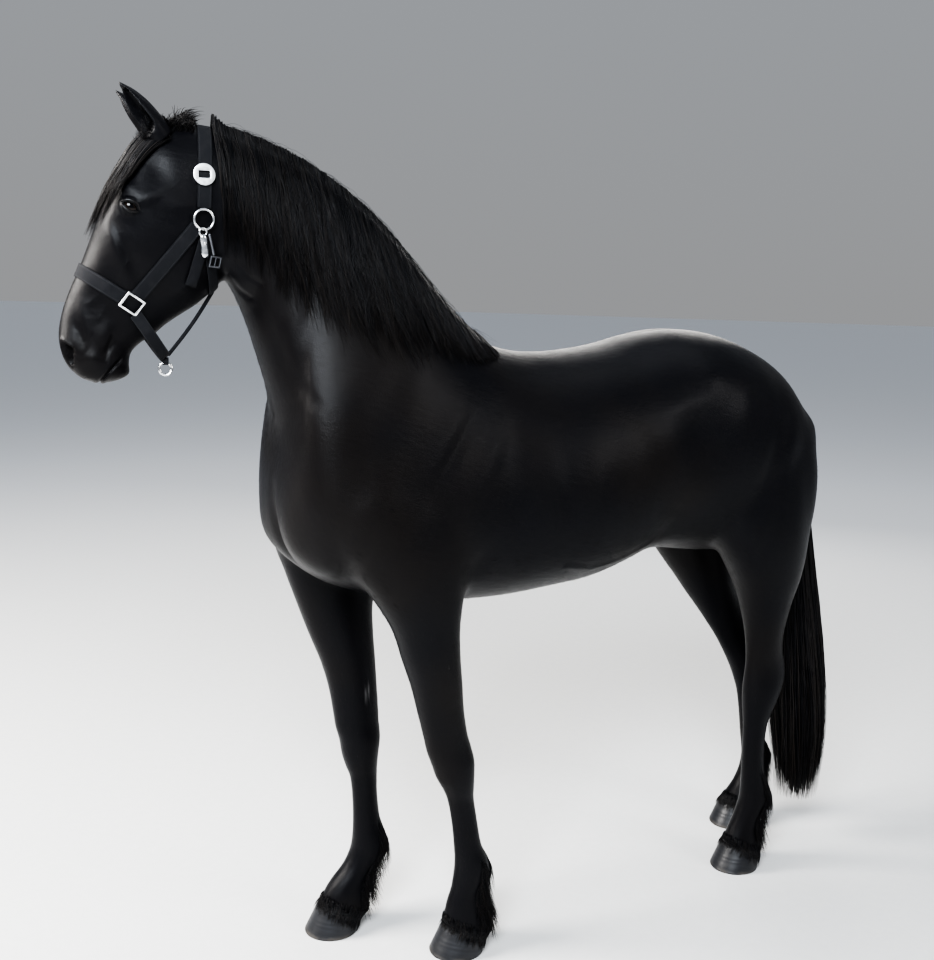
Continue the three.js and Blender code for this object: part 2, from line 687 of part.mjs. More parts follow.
// The whole body of flesh, and the same a gap larger for what lies against it.
const trunk = bodySolid(0);
const trunkGap = bodySolid(GAP);
const legs = Object.fromEntries(Object.entries(LEGS).map(([name, [rows, side]]) => [name, legSolid(rows, side, 0)]));
const flesh = join(trunk, Object.values(legs));
const fleshGap = join(
  trunkGap,
  Object.values(LEGS).map(([rows, side]) => legSolid(rows, side, GAP)),
);

// Parting planes
const UP = [0, 0, 1];
const DOWN = [0, 0, -1];
const NECK_NORMAL = [NECK_BASE_SLOPE[1], 0, -NECK_BASE_SLOPE[0]];
const NECK_OFFSET = NECK_NORMAL[0] * NECK_BASE[0] + NECK_NORMAL[2] * NECK_BASE[1];
const cutLength = Math.hypot(POLL_CUT[0] - THROAT_CUT[0], POLL_CUT[1] - THROAT_CUT[1]);
const HEAD_NORMAL = [
  -(POLL_CUT[1] - THROAT_CUT[1]) / cutLength,
  0,
  (POLL_CUT[0] - THROAT_CUT[0]) / cutLength,
];
const HEAD_OFFSET = HEAD_NORMAL[0] * POLL_CUT[0] + HEAD_NORMAL[2] * POLL_CUT[1];

const torso = flesh.trimByPlane(UP, LEG_CUT + GAP / 2).trimByPlane(flip(NECK_NORMAL), -NECK_OFFSET + GAP / 2);
const neck = join(trunk.trimByPlane(NECK_NORMAL, NECK_OFFSET + GAP / 2), maneLocks())
  .trimByPlane(NECK_NORMAL, NECK_OFFSET + GAP / 2)
  .trimByPlane(flip(HEAD_NORMAL), -HEAD_OFFSET + GAP / 2);

// The head: eyes in their lids, nostrils, the line of the mouth, the forelock.
const eyes = [];
const forelock = join(forelockLocks()).subtract(join(earSolid(-1, GAP), earSolid(1, GAP)));
let head = join(trunk.trimByPlane(HEAD_NORMAL, HEAD_OFFSET + GAP / 2), forelock);
for (const side of [-1, 1]) {
  const out = side * (sideways(EYE_AT[0], EYE_AT[1]) - EYE_SUNK);
  head = head.add(egg(EYE_AT[0], out, EYE_AT[1], EYE_RADIUS + 4, EYE_RADIUS + 3.5, EYE_RADIUS + 2, 25));
  head = head.subtract(egg(EYE_AT[0] + 1, out + side * (EYE_RADIUS + 2), EYE_AT[1], 19, 14, 10.5, 25, 10));
  head = head.subtract(egg(EYE_AT[0], out, EYE_AT[1], EYE_RADIUS + GAP, EYE_RADIUS + GAP, EYE_RADIUS + GAP));
  eyes.push([side < 0 ? "eye_left" : "eye_right", egg(EYE_AT[0], out, EYE_AT[1], EYE_RADIUS, EYE_RADIUS, EYE_RADIUS)]);
  head = head.subtract(egg(-811, side * 50, 1563, 13, 15, 22, -14, 10));
}
const mouth = join(
  slab([-690, 1543], [-700, 1530], 3.5),
  slab([-699, 1532], [-714, 1512], 3.5),
  slab([-713, 1514], [-728, 1480], 3.5),
);
head = head.subtract(mouth.subtract(bodySolid(-6)));

const group = new THREE.Group();
const horse = new THREE.Group();
group.add(horse);

// Turns the head and neck, in step with the distance from the base of the neck.
function turned(point) {
  const far = (point.x - NECK_BASE[0]) * NECK_NORMAL[0] + (point.z - NECK_BASE[1]) * NECK_NORMAL[2];
  const angle = HEAD_TURN * smooth(far / TURN_REACH);
  if (angle === 0) return point;
  const x = point.x - TURN_AT_X;
  const [c, s] = [Math.cos(angle), Math.sin(angle)];
  return point.set(TURN_AT_X + x * c + point.y * s, -x * s + point.y * c, point.z);
}

// A solid back as a shape, with its points moved.
function shapeOf(made, move = (point) => point) {
  const mesh = made.getMesh();
  const points = new Float32Array(mesh.numVert * 3);
  const point = new THREE.Vector3();
  for (let i = 0; i < mesh.numVert; i++) {
    move(point.fromArray(mesh.vertProperties, i * mesh.numProp)).toArray(points, i * 3);
  }
  const shape = new THREE.BufferGeometry();
  shape.setAttribute("position", new THREE.BufferAttribute(points, 3));
  shape.setIndex(new THREE.BufferAttribute(new Uint32Array(mesh.triVerts), 1));
  return shape;
}

// Points that cuts have left closer than WELD become one, where the surface stays closed.
function welded(shape) {
  try {
    return solid(shape, WELD);
  } catch {
    return solid(shape);
  }
}

function show(name, made, [color, roughness, metalness]) {
  const straight = /torso|leg|hoof|tail/.test(name);
  const bent = shapeOf(largest(made), straight ? (point) => point : turned);
  const shape = shapeOf(largest(welded(bent)));
  shape.computeVertexNormals();
  const piece = new THREE.Mesh(shape, new THREE.MeshStandardMaterial({ color, roughness, metalness }));
  piece.name = name;
  horse.add(piece);
}

const COAT = [0x15120f, 0.4, 0];
const HORN = [0x24262a, 0.25, 0];
const EYE = [0x0b0705, 0.08, 0];
const WEBBING = [0x1c1d20, 0.75, 0];
const STEEL = [0xc9ccd0, 0.22, 1];
const ALUMINIUM = [0xd6d8da, 0.35, 1];

show("torso", torso, COAT);
show("neck", neck, COAT);
show("head", head, COAT);
for (const [name, eye] of eyes) show(name, eye, EYE);
show("ear_left", earSolid(-1, 0).subtract(trunkGap), COAT);
show("ear_right", earSolid(1, 0).subtract(trunkGap), COAT);
for (const [name, [rows, side]] of Object.entries(LEGS)) {
  const spot = HOOF_SPOTS[name];
  const cut = name.startsWith("fore") ? KNEE_CUT : HOCK_CUT;
  const upper = legs[name].trimByPlane(DOWN, -LEG_CUT + GAP / 2).trimByPlane(UP, cut + GAP / 2);
  const lower = legs[name].trimByPlane(DOWN, -cut + GAP / 2).trimByPlane(CORONET_NORMAL, coronetOffset(spot) + GAP / 2);
  show(name + "_upper_leg", upper, COAT);
  show(name + "_lower_leg", join(lower, featherLocks(rows, side)).subtract(hoofSolid(spot, GAP)), COAT);
  show(name + "_hoof", hoofSolid(spot, 0), HORN);
}
show("tail", tailSolid().subtract(fleshGap), COAT);

// The halter: webbing wrapped round the head, on a shell just off the skin.
const shell = bodySolid(GAP + STRAP_THICK).subtract(trunkGap);
const RING = RING_RADIUS + RING_BAR + GAP;
const [rx, rz] = RING_AT;
const [sx, sz] = SQUARE_AT;
const cheekLength = Math.hypot(sx - rx, sz - rz);
const cheek = [(sx - rx) / cheekLength, (sz - rz) / cheekLength];
const nose = [-778 - sx, 1745 - sz].map((v) => v / Math.hypot(-778 - sx, 1745 - sz));
show("halter_crown", shell.intersect(slab([rx, rz + RING], [rx + 10, 2120], STRAP_WIDTH)), WEBBING);
for (const [name, side] of [["left", -1], ["right", 1]]) {
  const [low, high] = side < 0 ? [-200, -20] : [20, 200];
  const run = (from, to) => [
    [rx + cheek[0] * from, rz + cheek[1] * from],
    [rx + cheek[0] * to, rz + cheek[1] * to],
  ];
  show("halter_cheek_" + name, shell.intersect(slab(...run(RING, cheekLength - 24), STRAP_WIDTH, low, high)), WEBBING);
  const ring = new THREE.TorusGeometry(RING_RADIUS, RING_BAR, 5, 14);
  show("halter_ring_" + name, seat(ring, rx, rz, side, RING_BAR + 4.6), STEEL);
  const square = frameShape(46, 40, 6, 4);
  show("halter_square_" + name, seat(square, sx, sz, side, 6.2, side * 0.6), STEEL);
  const disc = new THREE.CylinderGeometry(24, 24, 3, 24);
  disc.rotateX(Math.PI / 2);
  show("halter_disc_" + name, seat(disc, rx + 3, 1955, side, STRAP_THICK + 4.4), ALUMINIUM);
}
show(
  "halter_noseband",
  shell.intersect(slab([sx + nose[0] * 25, sz + nose[1] * 25], [-850, 1782], STRAP_WIDTH)),
  WEBBING,
);
const throat = shell.intersect(slab([rx + 8, rz - RING - 2], [rx + 40, 1660], 22));
show("halter_throat_strap", throat, WEBBING);
show("halter_tongue", shell.intersect(slab([-514, 1774], [-534, 1714], 24, -200, -20)), WEBBING);
const half = [
  [-652, 64, 1648],
  [-622, 56, 1604],
  [-596, 30, 1566],
];
const chinPoints = [
  ...half.map(([x, y, z]) => new THREE.Vector3(x, -y, z)),
  new THREE.Vector3(-584, 0, 1550),
  ...half.toReversed().map(([x, y, z]) => new THREE.Vector3(x, y, z)),
];
const chinOutward = chinPoints.map((p) => new THREE.Vector3(0.5, p.y / 50, -0.6).normalize());
const squares = [-1, 1].map((side) => {
  const plate = new THREE.BoxGeometry(46 + 2 * GAP, 40 + 2 * GAP, 24);
  return seat(plate, sx, sz, side, 6.2, side * 0.6);
});
show("halter_chin_strap", strap(chinPoints, chinOutward, 27, 4).subtract(join(trunkGap, squares)), WEBBING);
const cord = new THREE.CylinderGeometry(5, 5, 1, 8);
cord.scale(1, 134, 1);
cord.applyMatrix4(
  new THREE.Matrix4().makeRotationFromQuaternion(
    new THREE.Quaternion().setFromUnitVectors(new THREE.Vector3(0, 1, 0), new THREE.Vector3(-92, 0, -118).normalize()),
  ),
);
cord.translate(-524, 0, 1628);
show("halter_rolled_strap", solid(cord).subtract(trunkGap), WEBBING);
const leadRing = new THREE.TorusGeometry(LEAD_RING_RADIUS, RING_BAR, 6, 18);
leadRing.rotateX(Math.PI / 2);
leadRing.translate(LEAD_RING_AT[0], 0, LEAD_RING_AT[1]);
show("halter_lead_ring", solid(leadRing), STEEL);
const snap = new THREE.CapsuleGeometry(8, 34, 3, 10);
show("halter_snap", seat(snap, -511, 1803, -1, 14.5, 0.12), STEEL);
show("halter_buckle", seat(frameShape(30, 26, 4, 4), -487, 1772, -1, 12.5, -0.2), STEEL);

// The origin: on the ground, in the middle of the whole.
const box = new THREE.Box3().setFromObject(horse);
horse.position.set(-(box.min.x + box.max.x) / 2, -(box.min.y + box.max.y) / 2, 0);

export default group;
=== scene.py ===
# %% [markdown]
# # A Friesian horse in its halter
# The horse stands still, so everything rides on one body. This lesson builds its skin as one mesh,
# then the eyes, the horn of the hooves, the long hair in locks, the short coat, and the halter.
# All shapes are worked out with the horse looking straight ahead. The last step before the light
# turns the neck and head a little to the horse's right, as the real one holds them.

# %% Load the frame
import math

import bmesh
import bpy
import numpy as np
from mathutils import Matrix, Vector
from mathutils.bvhtree import BVHTree


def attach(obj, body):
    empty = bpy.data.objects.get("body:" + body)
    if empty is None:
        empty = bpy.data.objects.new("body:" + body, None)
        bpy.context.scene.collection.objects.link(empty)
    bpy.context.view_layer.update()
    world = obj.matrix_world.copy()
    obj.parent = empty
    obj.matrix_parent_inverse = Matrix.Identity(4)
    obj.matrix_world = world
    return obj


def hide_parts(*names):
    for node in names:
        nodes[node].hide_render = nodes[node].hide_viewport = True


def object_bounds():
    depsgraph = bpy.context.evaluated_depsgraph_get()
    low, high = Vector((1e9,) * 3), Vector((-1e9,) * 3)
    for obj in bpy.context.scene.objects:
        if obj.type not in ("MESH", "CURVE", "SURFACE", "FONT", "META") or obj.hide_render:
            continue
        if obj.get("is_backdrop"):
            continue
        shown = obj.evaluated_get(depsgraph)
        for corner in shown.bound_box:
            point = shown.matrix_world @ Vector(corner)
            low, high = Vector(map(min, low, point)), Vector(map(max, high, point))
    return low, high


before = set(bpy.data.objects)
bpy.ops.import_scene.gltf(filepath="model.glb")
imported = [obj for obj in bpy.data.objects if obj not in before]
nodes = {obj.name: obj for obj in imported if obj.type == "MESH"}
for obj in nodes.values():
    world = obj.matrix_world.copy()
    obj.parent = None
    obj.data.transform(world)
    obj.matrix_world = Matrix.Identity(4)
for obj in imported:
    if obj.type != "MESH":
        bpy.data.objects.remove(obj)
cad_low, cad_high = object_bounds()
random = np.random.default_rng(20240)
print("solids to dress:", len(nodes))

# %% [markdown]
# ## The measures
# The tables hold the horse's own sizes in millimetres, as a farrier or a saddler would take them.
# Each leg has level cross-sections; the trunk, neck and head are one row of sections that fan round
# the bend at the withers and at the poll. They are the same sizes that the solids were cut from,
# so the skin lands inside them, lower by the depth of the coat.

# %% Driving sizes
MM = 0.001
COAT_DEPTH = 2.5
HEAD_TURN = math.radians(11)
HEAD_TILT = math.radians(25)
TURN_AT_X = -100
TURN_REACH = 380
NECK_BASE = (270, 1600)
NECK_NORMAL = (-0.486, 0.874)
HOOF_LENGTH = 152
HOOF_WIDTH = 140
HOOF_FRONT = 84
HOOF_HEEL = 46
EYE_AT = (-662, 1878)
EYE_RADIUS = 21
EYE_SUNK = 14
EAR_TIP = 2142
RING_AT = (-508, 1860)
RING_RADIUS = 22
RING_BAR = 3
LEAD_RING_AT = (-584, 1524.4)
LEAD_RING_RADIUS = 14
SQUARE_AT = (-660, 1673)
NOSE_AT = (-778, 1745)
STRAP_WIDTH = 31
TONGUE_WIDTH = 24
THROAT_STRAP_WIDTH = 22
CHIN_STRAP_WIDTH = 27

# height, front x, rear x, distance from the middle plane, half width
LEFT_FORE = [
    (30, 72, 222, 123, 52),
    (62, 82, 230, 123, 54),
    (95, 86, 224, 123, 50),
    (130, 92, 208, 123, 44),
    (170, 104, 204, 124, 41),
    (210, 110, 218, 125, 44),
    (245, 112, 208, 125, 41),
    (290, 107, 188, 125, 33),
    (360, 97, 173, 125, 30),
    (420, 84, 161, 125, 32),
    (455, 69, 158, 126, 40),
    (490, 48, 157, 127, 46),
    (530, 32, 155, 128, 48),
    (570, 15, 143, 130, 45),
    (610, 4, 129, 132, 46),
    (680, -17, 113, 136, 51),
    (750, -39, 102, 142, 58),
    (820, -67, 90, 148, 65),
    (900, -99, 83, 154, 72),
    (980, -153, 87, 162, 80),
    (1060, -213, 99, 166, 86),
    (1150, -263, 103, 166, 88),
    (1240, -281, 99, 160, 84),
    (1330, -253, 83, 150, 70),
]
RIGHT_FORE = [
    (30, -176, -26, 120, 52),
    (62, -166, -16, 120, 54),
    (95, -156, -16, 120, 50),
    (130, -134, -16, 120, 44),
    (170, -98, 6, 120, 41),
    (210, -76, 34, 121, 44),
    (245, -70, 28, 121, 41),
    (290, -69, 14, 121, 33),
    (360, -72, 4, 121, 30),
    (420, -79, 2, 122, 32),
    (455, -92, 2, 123, 40),
    (490, -103, 5, 124, 46),
    (530, -110, 9, 125, 48),
    (570, -122, 6, 127, 45),
    (610, -128, 4, 129, 46),
    (680, -140, 0, 134, 51),
    (750, -160, -4, 140, 58),
    (820, -188, -8, 147, 65),
    (900, -220, -6, 154, 72),
    (980, -250, 20, 162, 80),
    (1060, -278, 60, 166, 86),
    (1150, -296, 90, 166, 88),
    (1240, -292, 100, 160, 84),
    (1330, -256, 90, 150, 70),
]
LEFT_HIND = [
    (30, 1062, 1202, 116, 51),
    (62, 1070, 1212, 117, 53),
    (95, 1078, 1212, 118, 49),
    (130, 1094, 1200, 119, 43),
    (170, 1110, 1208, 121, 41),
    (210, 1122, 1232, 123, 44),
    (245, 1123, 1222, 124, 41),
    (300, 1119, 1200, 125, 34),
    (380, 1115, 1192, 126, 32),
    (450, 1111, 1196, 127, 34),
    (490, 1106, 1208, 128, 40),
    (530, 1101, 1226, 129, 46),
    (570, 1097, 1242, 130, 48),
    (610, 1096, 1250, 131, 44),
    (650, 1096, 1242, 133, 41),
    (690, 1092, 1226, 136, 44),
    (740, 1084, 1216, 140, 52),
    (800, 1066, 1214, 146, 64),
    (860, 1040, 1220, 152, 78),
    (920, 1004, 1232, 160, 92),
    (990, 952, 1238, 168, 104),
    (1060, 912, 1240, 172, 112),
    (1140, 880, 1256, 170, 116),
    (1220, 876, 1264, 164, 116),
    (1300, 892, 1256, 158, 110),
    (1380, 930, 1250, 150, 98),
    (1450, 1000, 1180, 140, 70),
]
RIGHT_HIND = [
    (30, 1266, 1406, 116, 51),
    (62, 1276, 1418, 117, 53),
    (95, 1300, 1430, 118, 49),
    (130, 1332, 1436, 119, 43),
    (170, 1354, 1452, 120, 41),
    (210, 1364, 1474, 121, 44),
    (245, 1362, 1462, 122, 41),
    (300, 1350, 1432, 123, 34),
    (380, 1337, 1414, 124, 32),
    (450, 1322, 1408, 125, 34),
    (490, 1308, 1412, 126, 40),
    (530, 1290, 1424, 127, 46),
    (570, 1267, 1430, 128, 48),
    (610, 1241, 1424, 130, 44),
    (650, 1214, 1398, 132, 41),
    (690, 1184, 1364, 135, 44),
    (740, 1146, 1324, 139, 52),
    (800, 1098, 1290, 145, 64),
    (860, 1052, 1272, 151, 78),
    (920, 1004, 1266, 160, 92),
    (990, 952, 1258, 168, 104),
    (1060, 912, 1252, 172, 112),
    (1140, 880, 1262, 170, 116),
    (1220, 876, 1264, 164, 116),
    (1300, 892, 1256, 158, 110),
    (1380, 930, 1250, 150, 98),
    (1450, 1000, 1180, 140, 70),
]
LEGS = {
    "fore_left": (LEFT_FORE, -1),
    "fore_right": (RIGHT_FORE, 1),
    "hind_left": (LEFT_HIND, -1),
    "hind_right": (RIGHT_HIND, 1),
}
HOOF_SPOTS = {
    "fore_left": (126, -123),
    "fore_right": (-126, 120),
    "hind_left": (1118, -116),
    "hind_right": (1324, 116),
}

# top x, z, underside x, z, half width, level of the widest place, roundness above and below it
BODY = [
    (1266, 1340, 1262, 1190, 55, 0.5, 2, 2),
    (1250, 1430, 1244, 1100, 162, 0.52, 2.1, 2),
    (1204, 1498, 1198, 1040, 222, 0.52, 2.2, 2),
    (1120, 1562, 1115, 1000, 264, 0.54, 2.2, 2),
    (1010, 1610, 1010, 985, 284, 0.54, 2.2, 2),
    (900, 1634, 900, 995, 294, 0.55, 2.2, 2),
    (800, 1636, 800, 1010, 290, 0.54, 2.2, 2.1),
    (700, 1620, 700, 1012, 286, 0.5, 2.1, 2.2),
    (600, 1597, 600, 982, 294, 0.48, 2, 2.2),
    (500, 1581, 500, 955, 300, 0.47, 2, 2.2),
    (400, 1573, 400, 944, 298, 0.47, 1.9, 2.2),
    (300, 1576, 300, 934, 286, 0.46, 1.8, 2.2),
    (200, 1602, 195, 930, 268, 0.45, 1.7, 2.3),
    (130, 1650, 90, 936, 252, 0.43, 1.6, 2.4),
    (66, 1708, -20, 950, 246, 0.4, 1.6, 2.5),
    (6, 1774, -130, 976, 240, 0.37, 1.6, 2.5),
    (-50, 1836, -240, 1018, 226, 0.34, 1.6, 2.5),
    (-100, 1884, -312, 1084, 206, 0.32, 1.6, 2.4),
    (-146, 1921, -346, 1170, 184, 0.32, 1.6, 2.3),
    (-188, 1950, -350, 1262, 160, 0.34, 1.6, 2.2),
    (-231, 1977, -336, 1358, 138, 0.38, 1.6, 2.2),
    (-280, 2004, -346, 1448, 124, 0.42, 1.6, 2.2),
    (-334, 2027, -370, 1538, 113, 0.45, 1.6, 2.2),
    (-392, 2046, -396, 1620, 103, 0.48, 1.7, 2.1),
    (-452, 2062, -424, 1688, 95, 0.5, 1.8, 2),
    (-512, 2070, -444, 1722, 88, 0.52, 2, 2),
    (-566, 2066, -458, 1722, 88, 0.56, 2.1, 2),
    (-612, 2048, -472, 1706, 94, 0.6, 2.2, 2),
    (-650, 2008, -492, 1688, 100, 0.64, 2.3, 2),
    (-680, 1956, -518, 1666, 104, 0.68, 2.4, 1.9),
    (-706, 1906, -548, 1646, 101, 0.7, 2.4, 1.8),
    (-728, 1856, -580, 1624, 88, 0.68, 2.3, 1.8),
    (-748, 1803, -608, 1600, 73, 0.62, 2.2, 1.9),
    (-769, 1748, -638, 1580, 63, 0.55, 2.2, 2),
    (-791, 1697, -657, 1560, 57, 0.5, 2.2, 2.1),
    (-808, 1648, -664, 1536, 56, 0.48, 2.3, 2.2),
    (-816, 1600, -668, 1514, 58, 0.5, 2.3, 2.2),
    (-811, 1558, -686, 1498, 54, 0.5, 2.2, 2.2),
    (-796, 1526, -720, 1490, 42, 0.5, 2, 2),
    (-776, 1508, -748, 1494, 18, 0.5, 2, 2),
]
POLL_ROW = 26
BROW_ROW = 31.5

# middle line of the tail and the radius of its hair
TAIL = [
    (1190, 0, 1452, 26),
    (1262, 0, 1440, 36),
    (1306, -3, 1378, 44),
    (1328, -9, 1280, 50),
    (1338, -15, 1160, 57),
    (1346, -23, 1020, 66),
    (1358, -32, 880, 76),
    (1374, -40, 740, 86),
    (1391, -46, 600, 93),
    (1408, -50, 460, 98),
    (1424, -51, 320, 98),
    (1436, -49, 190, 84),
]

# The row frame's origin is under the middle of the whole horse.
SHIFT = Vector((cad_low.x, 0, 0)) - Vector((-0.80437, 0, 0))
print("coat depth", COAT_DEPTH, "mm; sections of the body", len(BODY))

# %% [markdown]
# ## Reading the tables
# A table gives a few sections; the form between them follows a smooth curve through its rows.
# NumPy works this out for all the points of a piece at once, which keeps the script quick.

# %% Values between the rows
def along(rows, place):
    table = np.array(rows, float)
    last = len(table) - 1
    spot = np.clip(np.asarray(place, float), 0, 1) * last
    first = np.minimum(spot.astype(int), last - 1)
    f = (spot - first)[..., None]
    a = table[np.maximum(first - 1, 0)]
    b = table[first]
    c = table[first + 1]
    d = table[np.minimum(first + 2, last)]
    return b + 0.5 * f * (c - a + f * (2 * a - 5 * b + 4 * c - d + f * (3 * (b - c) + d - a)))


def smooth(value, low=0.0, high=1.0):
    f = np.clip((np.asarray(value, float) - low) / (high - low), 0, 1)
    return f * f * (3 - 2 * f)


def unit(vectors):
    vectors = np.asarray(vectors, float)
    return vectors / np.maximum(np.linalg.norm(vectors, axis=-1, keepdims=True), 1e-9)


print("rows of the tail between its sections:", along(TAIL, [0.05, 0.5]).round(0).tolist())

# %% [markdown]
# ## Muscle and bone under the skin
# Each line of this table is one soft swelling or hollow, alike on both sides: where it lies, how far
# it reaches along three ways, how much it is tilted in side view, and how high it stands.
# The first ones are in the solids too; the later ones are finer and belong to the skin alone.

# %% Relief
FORMS = [
    (-325, 88, 1165, 85, 60, 105, 0, 15),
    (-345, 0, 1170, 60, 26, 130, 0, -12),
    (-262, 165, 1215, 80, 60, 90, 0, 12),
    (40, 235, 1170, 105, 80, 110, -30, 9),
    (60, 215, 1430, 60, 80, 180, -28, 8),
    (185, 270, 1230, 42, 120, 190, 0, -9),
    (752, 280, 1345, 70, 80, 110, 0, -15),
    (785, 255, 1515, 55, 70, 45, 0, 9),
    (1090, 255, 1350, 120, 90, 130, 0, 8),
    (1150, 250, 1180, 30, 90, 170, 12, -6),
    (925, 235, 1055, 60, 70, 70, 0, 8),
    (-512, 82, 1762, 66, 50, 66, 0, 8),
    (-672, 90, 1918, 30, 40, 18, -25, 6),
    (-676, 92, 1842, 34, 30, 18, -25, -4),
    (-690, 76, 1770, 18, 36, 70, 20, 4),
    (-806, 42, 1568, 22, 24, 32, 0, 7),
    (-668, 0, 1516, 22, 34, 20, 0, 6),
]
FINE_FORMS = [
    (-604, 84, 1962, 26, 34, 34, -20, -7),
    (-628, 96, 1900, 16, 30, 46, -62, 4),
    (-560, 96, 1886, 52, 30, 18, -8, 2.6),
    (-700, 84, 1812, 11, 22, 66, 22, 4),
    (-672, 80, 1784, 16, 26, 62, 24, -4.5),
    (-726, 70, 1742, 12, 22, 44, 22, 2.4),
    (-716, 62, 1668, 22, 26, 44, 14, -4),
    (-764, 60, 1650, 12, 22, 40, 10, 4),
    (-722, 58, 1600, 20, 22, 26, -20, 4),
    (-770, 56, 1602, 10, 18, 34, 18, -4),
    (-745, 52, 1548, 16, 20, 14, -30, 4),
    (-706, 50, 1575, 9, 20, 26, -38, -4),
    (-820, 12, 1556, 14, 9, 20, 0, -3),
    (-775, 24, 1500, 16, 16, 12, 0, 3),
    (-470, 92, 1800, 10, 40, 60, -12, -3),
    (-545, 84, 1712, 40, 40, 10, 34, 4),
    (-455, 84, 1905, 40, 30, 70, -8, -4),
    (-395, 86, 1690, 22, 50, 90, -18, -5),
    (-348, 104, 1560, 22, 50, 110, -8, -6),
    (-318, 110, 1640, 30, 40, 110, -14, 5),
    (-250, 150, 1420, 60, 60, 120, -20, 5),
    (-130, 190, 1480, 40, 60, 130, -34, -5),
    (-60, 205, 1560, 50, 60, 90, -34, 4),
    (0, 225, 1330, 22, 60, 130, -34, -6),
    (-170, 205, 1260, 46, 60, 90, -24, 6),
    (-255, 120, 1085, 46, 46, 60, -14, 7),
    (-215, 170, 1090, 18, 60, 70, -20, -6),
    (110, 240, 1330, 30, 60, 100, -26, 5),
    (90, 235, 1060, 30, 60, 60, -30, -6),
    (330, 285, 1180, 26, 70, 150, 10, -2.5),
    (410, 290, 1180, 26, 70, 150, 10, 2.5),
    (490, 292, 1190, 26, 70, 150, 12, -2.5),
    (570, 290, 1200, 26, 70, 140, 14, 2.5),
    (640, 285, 1250, 40, 70, 120, 20, -3),
    (700, 270, 1450, 70, 60, 26, 10, 3),
    (690, 262, 1095, 60, 60, 60, 20, -5),
    (985, 262, 1270, 26, 70, 150, -14, -5),
    (1045, 262, 1250, 30, 70, 140, -10, 4),
    (870, 250, 1420, 40, 60, 90, -18, 5),
    (980, 225, 1500, 60, 50, 40, 14, 4),
    (1180, 190, 1400, 30, 60, 90, 14, -4),
    (1010, 232, 1080, 22, 60, 110, -10, -4),
    (900, 0, 1640, 200, 16, 20, 0, -4),
    (-350, 82, 1125, 60, 44, 75, 0, 8),
    (-352, 0, 1112, 60, 17, 115, 0, -8),
]


def relief(points, forms):
    push = np.zeros(len(points))
    side = np.abs(points[:, 1])
    for x, y, z, reach_x, reach_y, reach_z, tilt, height in forms:
        c = math.cos(math.radians(tilt))
        s = math.sin(math.radians(tilt))
        dx = points[:, 0] - x
        dz = points[:, 2] - z
        ahead = (dx * c + dz * s) / reach_x
        aside = (side - y) / reach_y
        above = (dz * c - dx * s) / reach_z
        push += height * np.exp(-(ahead**2 + aside**2 + above**2))
    return push


print("forms of muscle and bone:", len(FORMS) + len(FINE_FORMS))

# %% [markdown]
# ## Sections as points
# A point of a section is given by its place along the table and by its angle round the form, 0 at
# the top or front and a quarter turn at the horse's right side.

# %% Points of trunk and legs
def body_point(place, angle, grow=0.0):
    row = along(BODY, place)
    top = row[:, [0, 1]]
    low = row[:, [2, 3]]
    length = np.linalg.norm(top - low, axis=1)
    way = (top - low) / length[:, None]
    c = np.cos(angle)
    s = np.sin(angle)
    power = 2 / np.where(c >= 0, row[:, 6], row[:, 7])
    out = np.sign(s) * np.abs(s) ** power
    up = np.sign(c) * np.abs(c) ** power
    rise = np.where(c >= 0, 1 - row[:, 5], row[:, 5]) * length + grow
    middle = low + way * (row[:, 5] * length)[:, None]
    points = np.stack([
        middle[:, 0] + way[:, 0] * rise * up,
        (row[:, 4] + grow) * out,
        middle[:, 1] + way[:, 1] * rise * up,
    ], 1)
    outward = unit(np.stack([way[:, 0] * up, out, way[:, 1] * up], 1))
    return points + outward * relief(points, FORMS)[:, None]


def leg_point(rows, side, place, angle, grow=0.0):
    row = along(rows, place)
    forward = (row[:, 2] - row[:, 1]) / 2 + grow
    points = np.stack([
        (row[:, 1] + row[:, 2]) / 2 - forward * np.cos(angle),
        side * row[:, 3] + (row[:, 4] + grow) * np.sin(angle),
        row[:, 0],
    ], 1)
    outward = np.stack([-np.cos(angle), np.sin(angle), np.zeros(len(points))], 1)
    return points + outward * relief(points, FORMS)[:, None]


def standing_out(x, z):
    """How far the bare form stands out sideways at a point of the side view."""
    row = along(BODY, np.linspace(0, 1, 481))
    way = row[:, [0, 1]] - row[:, [2, 3]]
    length = np.linalg.norm(way, axis=1)
    cross = ((x - row[:, 2]) * way[:, 1] - (z - row[:, 3]) * way[:, 0]) / length
    share = ((x - row[:, 2]) * way[:, 0] + (z - row[:, 3]) * way[:, 1]) / length**2
    best = 0.0
    for i in np.nonzero((cross[1:] * cross[:-1] <= 0) & (share[1:] > 0) & (share[1:] < 1))[0] + 1:
        level = row[i, 5]
        if share[i] > level:
            reach, power = (share[i] - level) / (1 - level), row[i, 6]
        else:
            reach, power = (level - share[i]) / level, row[i, 7]
        best = max(best, row[i, 4] * (1 - reach**power) ** (1 / power))
    return best


EYE_OUT = standing_out(*EYE_AT) - EYE_SUNK
print("eyeballs", round(2 * EYE_OUT), "mm apart")

# %% [markdown]
# ## From straight to turned
# Everything is made on a straight horse. This last step turns neck and head about an upright line
# near the breast, a little more with each step away from the withers, and changes to metres.

# %% The turn of the head
def up_the_neck(points):
    """How far points lie beyond the plane where the neck begins."""
    ahead = (points[..., 0] - NECK_BASE[0]) * NECK_NORMAL[0]
    above = (points[..., 2] - NECK_BASE[1]) * NECK_NORMAL[1]
    return ahead + above


